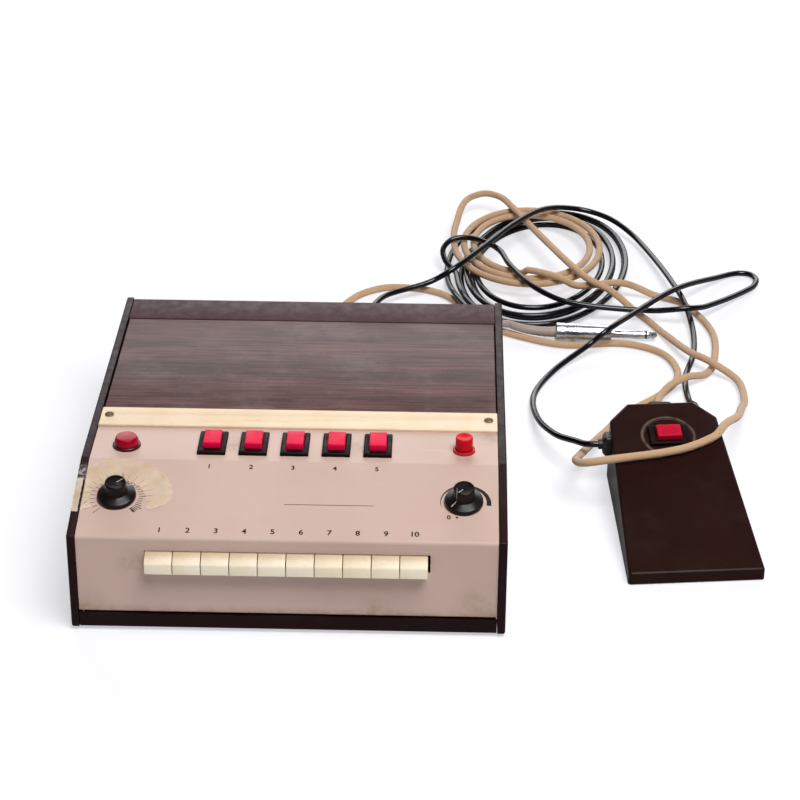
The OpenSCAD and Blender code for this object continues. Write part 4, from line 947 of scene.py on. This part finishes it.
# ---------- push buttons ----------
# Five red moulded caps in black moulded bezels, whose necks sit in cut-outs of the deck. Each cap's stem
# goes down into a nylon push switch below its bezel.
cap_red = moulding("cap_red", "dc0640", "e2174c", roughness=0.42, grain=700, depth=0.00004, dust=0.0,
                   shine=0.12)
bezel_black = moulding("bezel_black", "150607", "220f11", roughness=0.42, grain=700, dust=0.03,
                       shine=0.07)
for i in range(1, button_count + 1):
    softened(f"push_button_{i}", 0.0003, cap_red, 3)
softened("button_bezels", 0.00025, bezel_black)
nylon = moulding("switch_nylon", "d9d3c2", "c4bba3", roughness=0.5)
dress(nylon, "push_switches")

# ---------- pilot lamp ----------
# A red jewel with a bevelled edge in a dark red collar. It lets a little light through. Below it sits a
# small, unlit bulb in a brass cup.
lamp_collar = moulding("lamp_collar", "40060e", "5a101a", roughness=0.3, dust=0.02)
softened("lamp_bezel", 0.0002, lamp_collar)
jewel, tree, shader, where = start_material("lamp_jewel", Roughness=0.16, IOR=1.49,
                                            Transmission_Weight=0.15, Specular_IOR_Level=0.15)
feed(tree, shader.inputs["Base Color"],
     mixed(tree, between(tree, noise(tree, where.outputs["Object"], 240, 3), 0.4, 0.7, 0.0, 0.5),
           colour("b0062c"), colour("860620")))
softened("lamp_jewel", 0.0004, jewel, 3)
dress(bright_metal("lamp_brass", "c9ac66", roughness=0.25, scratches=0.2), "lamp_holder")

# ---------- start button ----------
# A round red moulded button, dished on top, in a low red collar. The collar is one with the push switch
# below the deck.
start_red = moulding("start_red", "cc0218", "d0122a", roughness=0.42, grain=700, depth=0.00004,
                     dust=0.0, shine=0.15)
softened("start_button", 0.0002, start_red)
softened("start_switch", 0.0002, moulding("start_collar", "b31022", "8d0c1b"))

# ---------- knobs ----------
# Two black moulded knobs with a flared skirt and a tapered grip, whose top is dished. A line of pale
# paint runs down the grip and across the skirt. They sit on the steel shafts of potentiometers.
knob_lift, knob_h, grip_r, grip_foot, skirt_r = 0.001, 0.012, 0.00695, 0.0044, 0.0122
knob_dish, pointer_w, pointer_t, pointer_depth = 0.0006, 0.0005, 0.0002, 0.0004
pointer_bottom = knob_h - knob_dish - pointer_depth
tempo_rest, volume_rest = 130, -45
knob_black = moulding("knob_black", "110808", "1c1110", roughness=0.3, depth=0.00004, dust=0.03,
                      shine=0.25)
pointer_paint = moulding("pointer_paint", "b9b1a1", "958c7b", roughness=0.6)
for name, x, turn in (("tempo", -knob_x, tempo_rest), ("volume", knob_x, volume_rest)):
    knob = name + "_knob"
    softened(knob, 0.00015, knob_black)
    line = bmesh.new()
    path = [(0.001, pointer_bottom), (grip_r - 0.0008, pointer_bottom), (grip_r - 0.00075, knob_h - 0.0004),
            (grip_r - 0.0007, grip_foot + 0.0003), (grip_r + 0.0001, grip_foot - 0.00005),
            (skirt_r - 0.0030, 0.00333), (skirt_r - 0.0012, 0.0028)]
    verts = [line.verts.new((-pointer_w / 2, -r, z + 0.00006)) for r, z in path]
    edges = [line.edges.new(pair) for pair in zip(verts, verts[1:])]
    swept = bmesh.ops.extrude_edge_only(line, edges=edges)["geom"]
    bmesh.ops.translate(line, vec=(pointer_w, 0, 0),
                        verts=[v for v in swept if isinstance(v, bmesh.types.BMVert)])
    bmesh.ops.solidify(line, geom=line.faces[:], thickness=pointer_t)
    bmesh.ops.recalc_face_normals(line, faces=line.faces)
    piece(line, name + "_pointer_line", pointer_paint, node_body[knob],
          place=on_slope(x, knob_up, knob_lift) @ Matrix.Rotation(math.radians(turn), 4, "Z"))
dress(zinc, "tempo_shaft", "volume_shaft", "potentiometers")

# ---------- rear fittings and inside ----------
# Black moulded strain reliefs and a jack socket on the rear panel. Inside are the circuit board and the
# mains transformer, on the tray.
dress(rubber_black, "cord_glands", "foot_jack_socket")
dress(moulding("circuit_board", "8a6b34", "6f5527", roughness=0.45), "circuit_board")
dress(moulding("transformer", "7d6a55", "5f5348", roughness=0.55), "mains_transformer")

# ---------- foot switch ----------
# A wedge-shaped housing moulded in glossy dark brown plastic, with one red button in a black bezel that
# stands in a round recess. Shoes have worn the recess's rim and scratched the top. It lies on four pads.
recess_r, rim_beyond, rim_w = 0.017, 0.0008, 0.0016


def foot_plastic():
    """Dark brown plastic, scratched lengthwise and worn pale round the recess."""
    material, tree, shader, where = start_material("foot_brown", Specular_IOR_Level=0.1)
    own = where.outputs["Object"]
    tint = mixed(tree, between(tree, noise(tree, own, 25, 3), 0.3, 0.7), colour("210d0a"), colour("26110e"))
    low_corner, high_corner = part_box("foot_bezel")
    from_button = distance_from(tree, own, (low_corner + high_corner) / 2)
    off_rim = maths(tree, "ABSOLUTE", maths(tree, "SUBTRACT", from_button, recess_r + rim_beyond))
    worn = maths(tree, "MULTIPLY", between(tree, off_rim, 0.0004, rim_w, 1.0, 0.0),
                 between(tree, noise(tree, own, 160, 4, 0.7), 0.3, 0.6, 0.2, 0.75))
    tint = mixed(tree, worn, tint, colour("6b5b52"))
    scratch = between(tree, noise(tree, own, 260, 3, 0.5, (1, 0.05, 1)), 0.71, 0.76, 0.0, 0.3)
    tint = mixed(tree, scratch, tint, colour("6e5f58"))
    dusted(tree, shader, own, tint, 0.02, 0.3)
    return material


dress(foot_plastic(), "foot_shell", "foot_base")
softened("foot_bezel", 0.00025, bezel_black)
foot_red = moulding("foot_cap_red", "b8022c", "c00a34", roughness=0.42, grain=700, depth=0.00004,
                    dust=0.02, shine=0.12)
softened("foot_button", 0.0003, foot_red, 3)
dress(nylon, "foot_push_switch")
dress(rubber_black, "foot_gland")
dress(foot_rubber, "foot_pads")
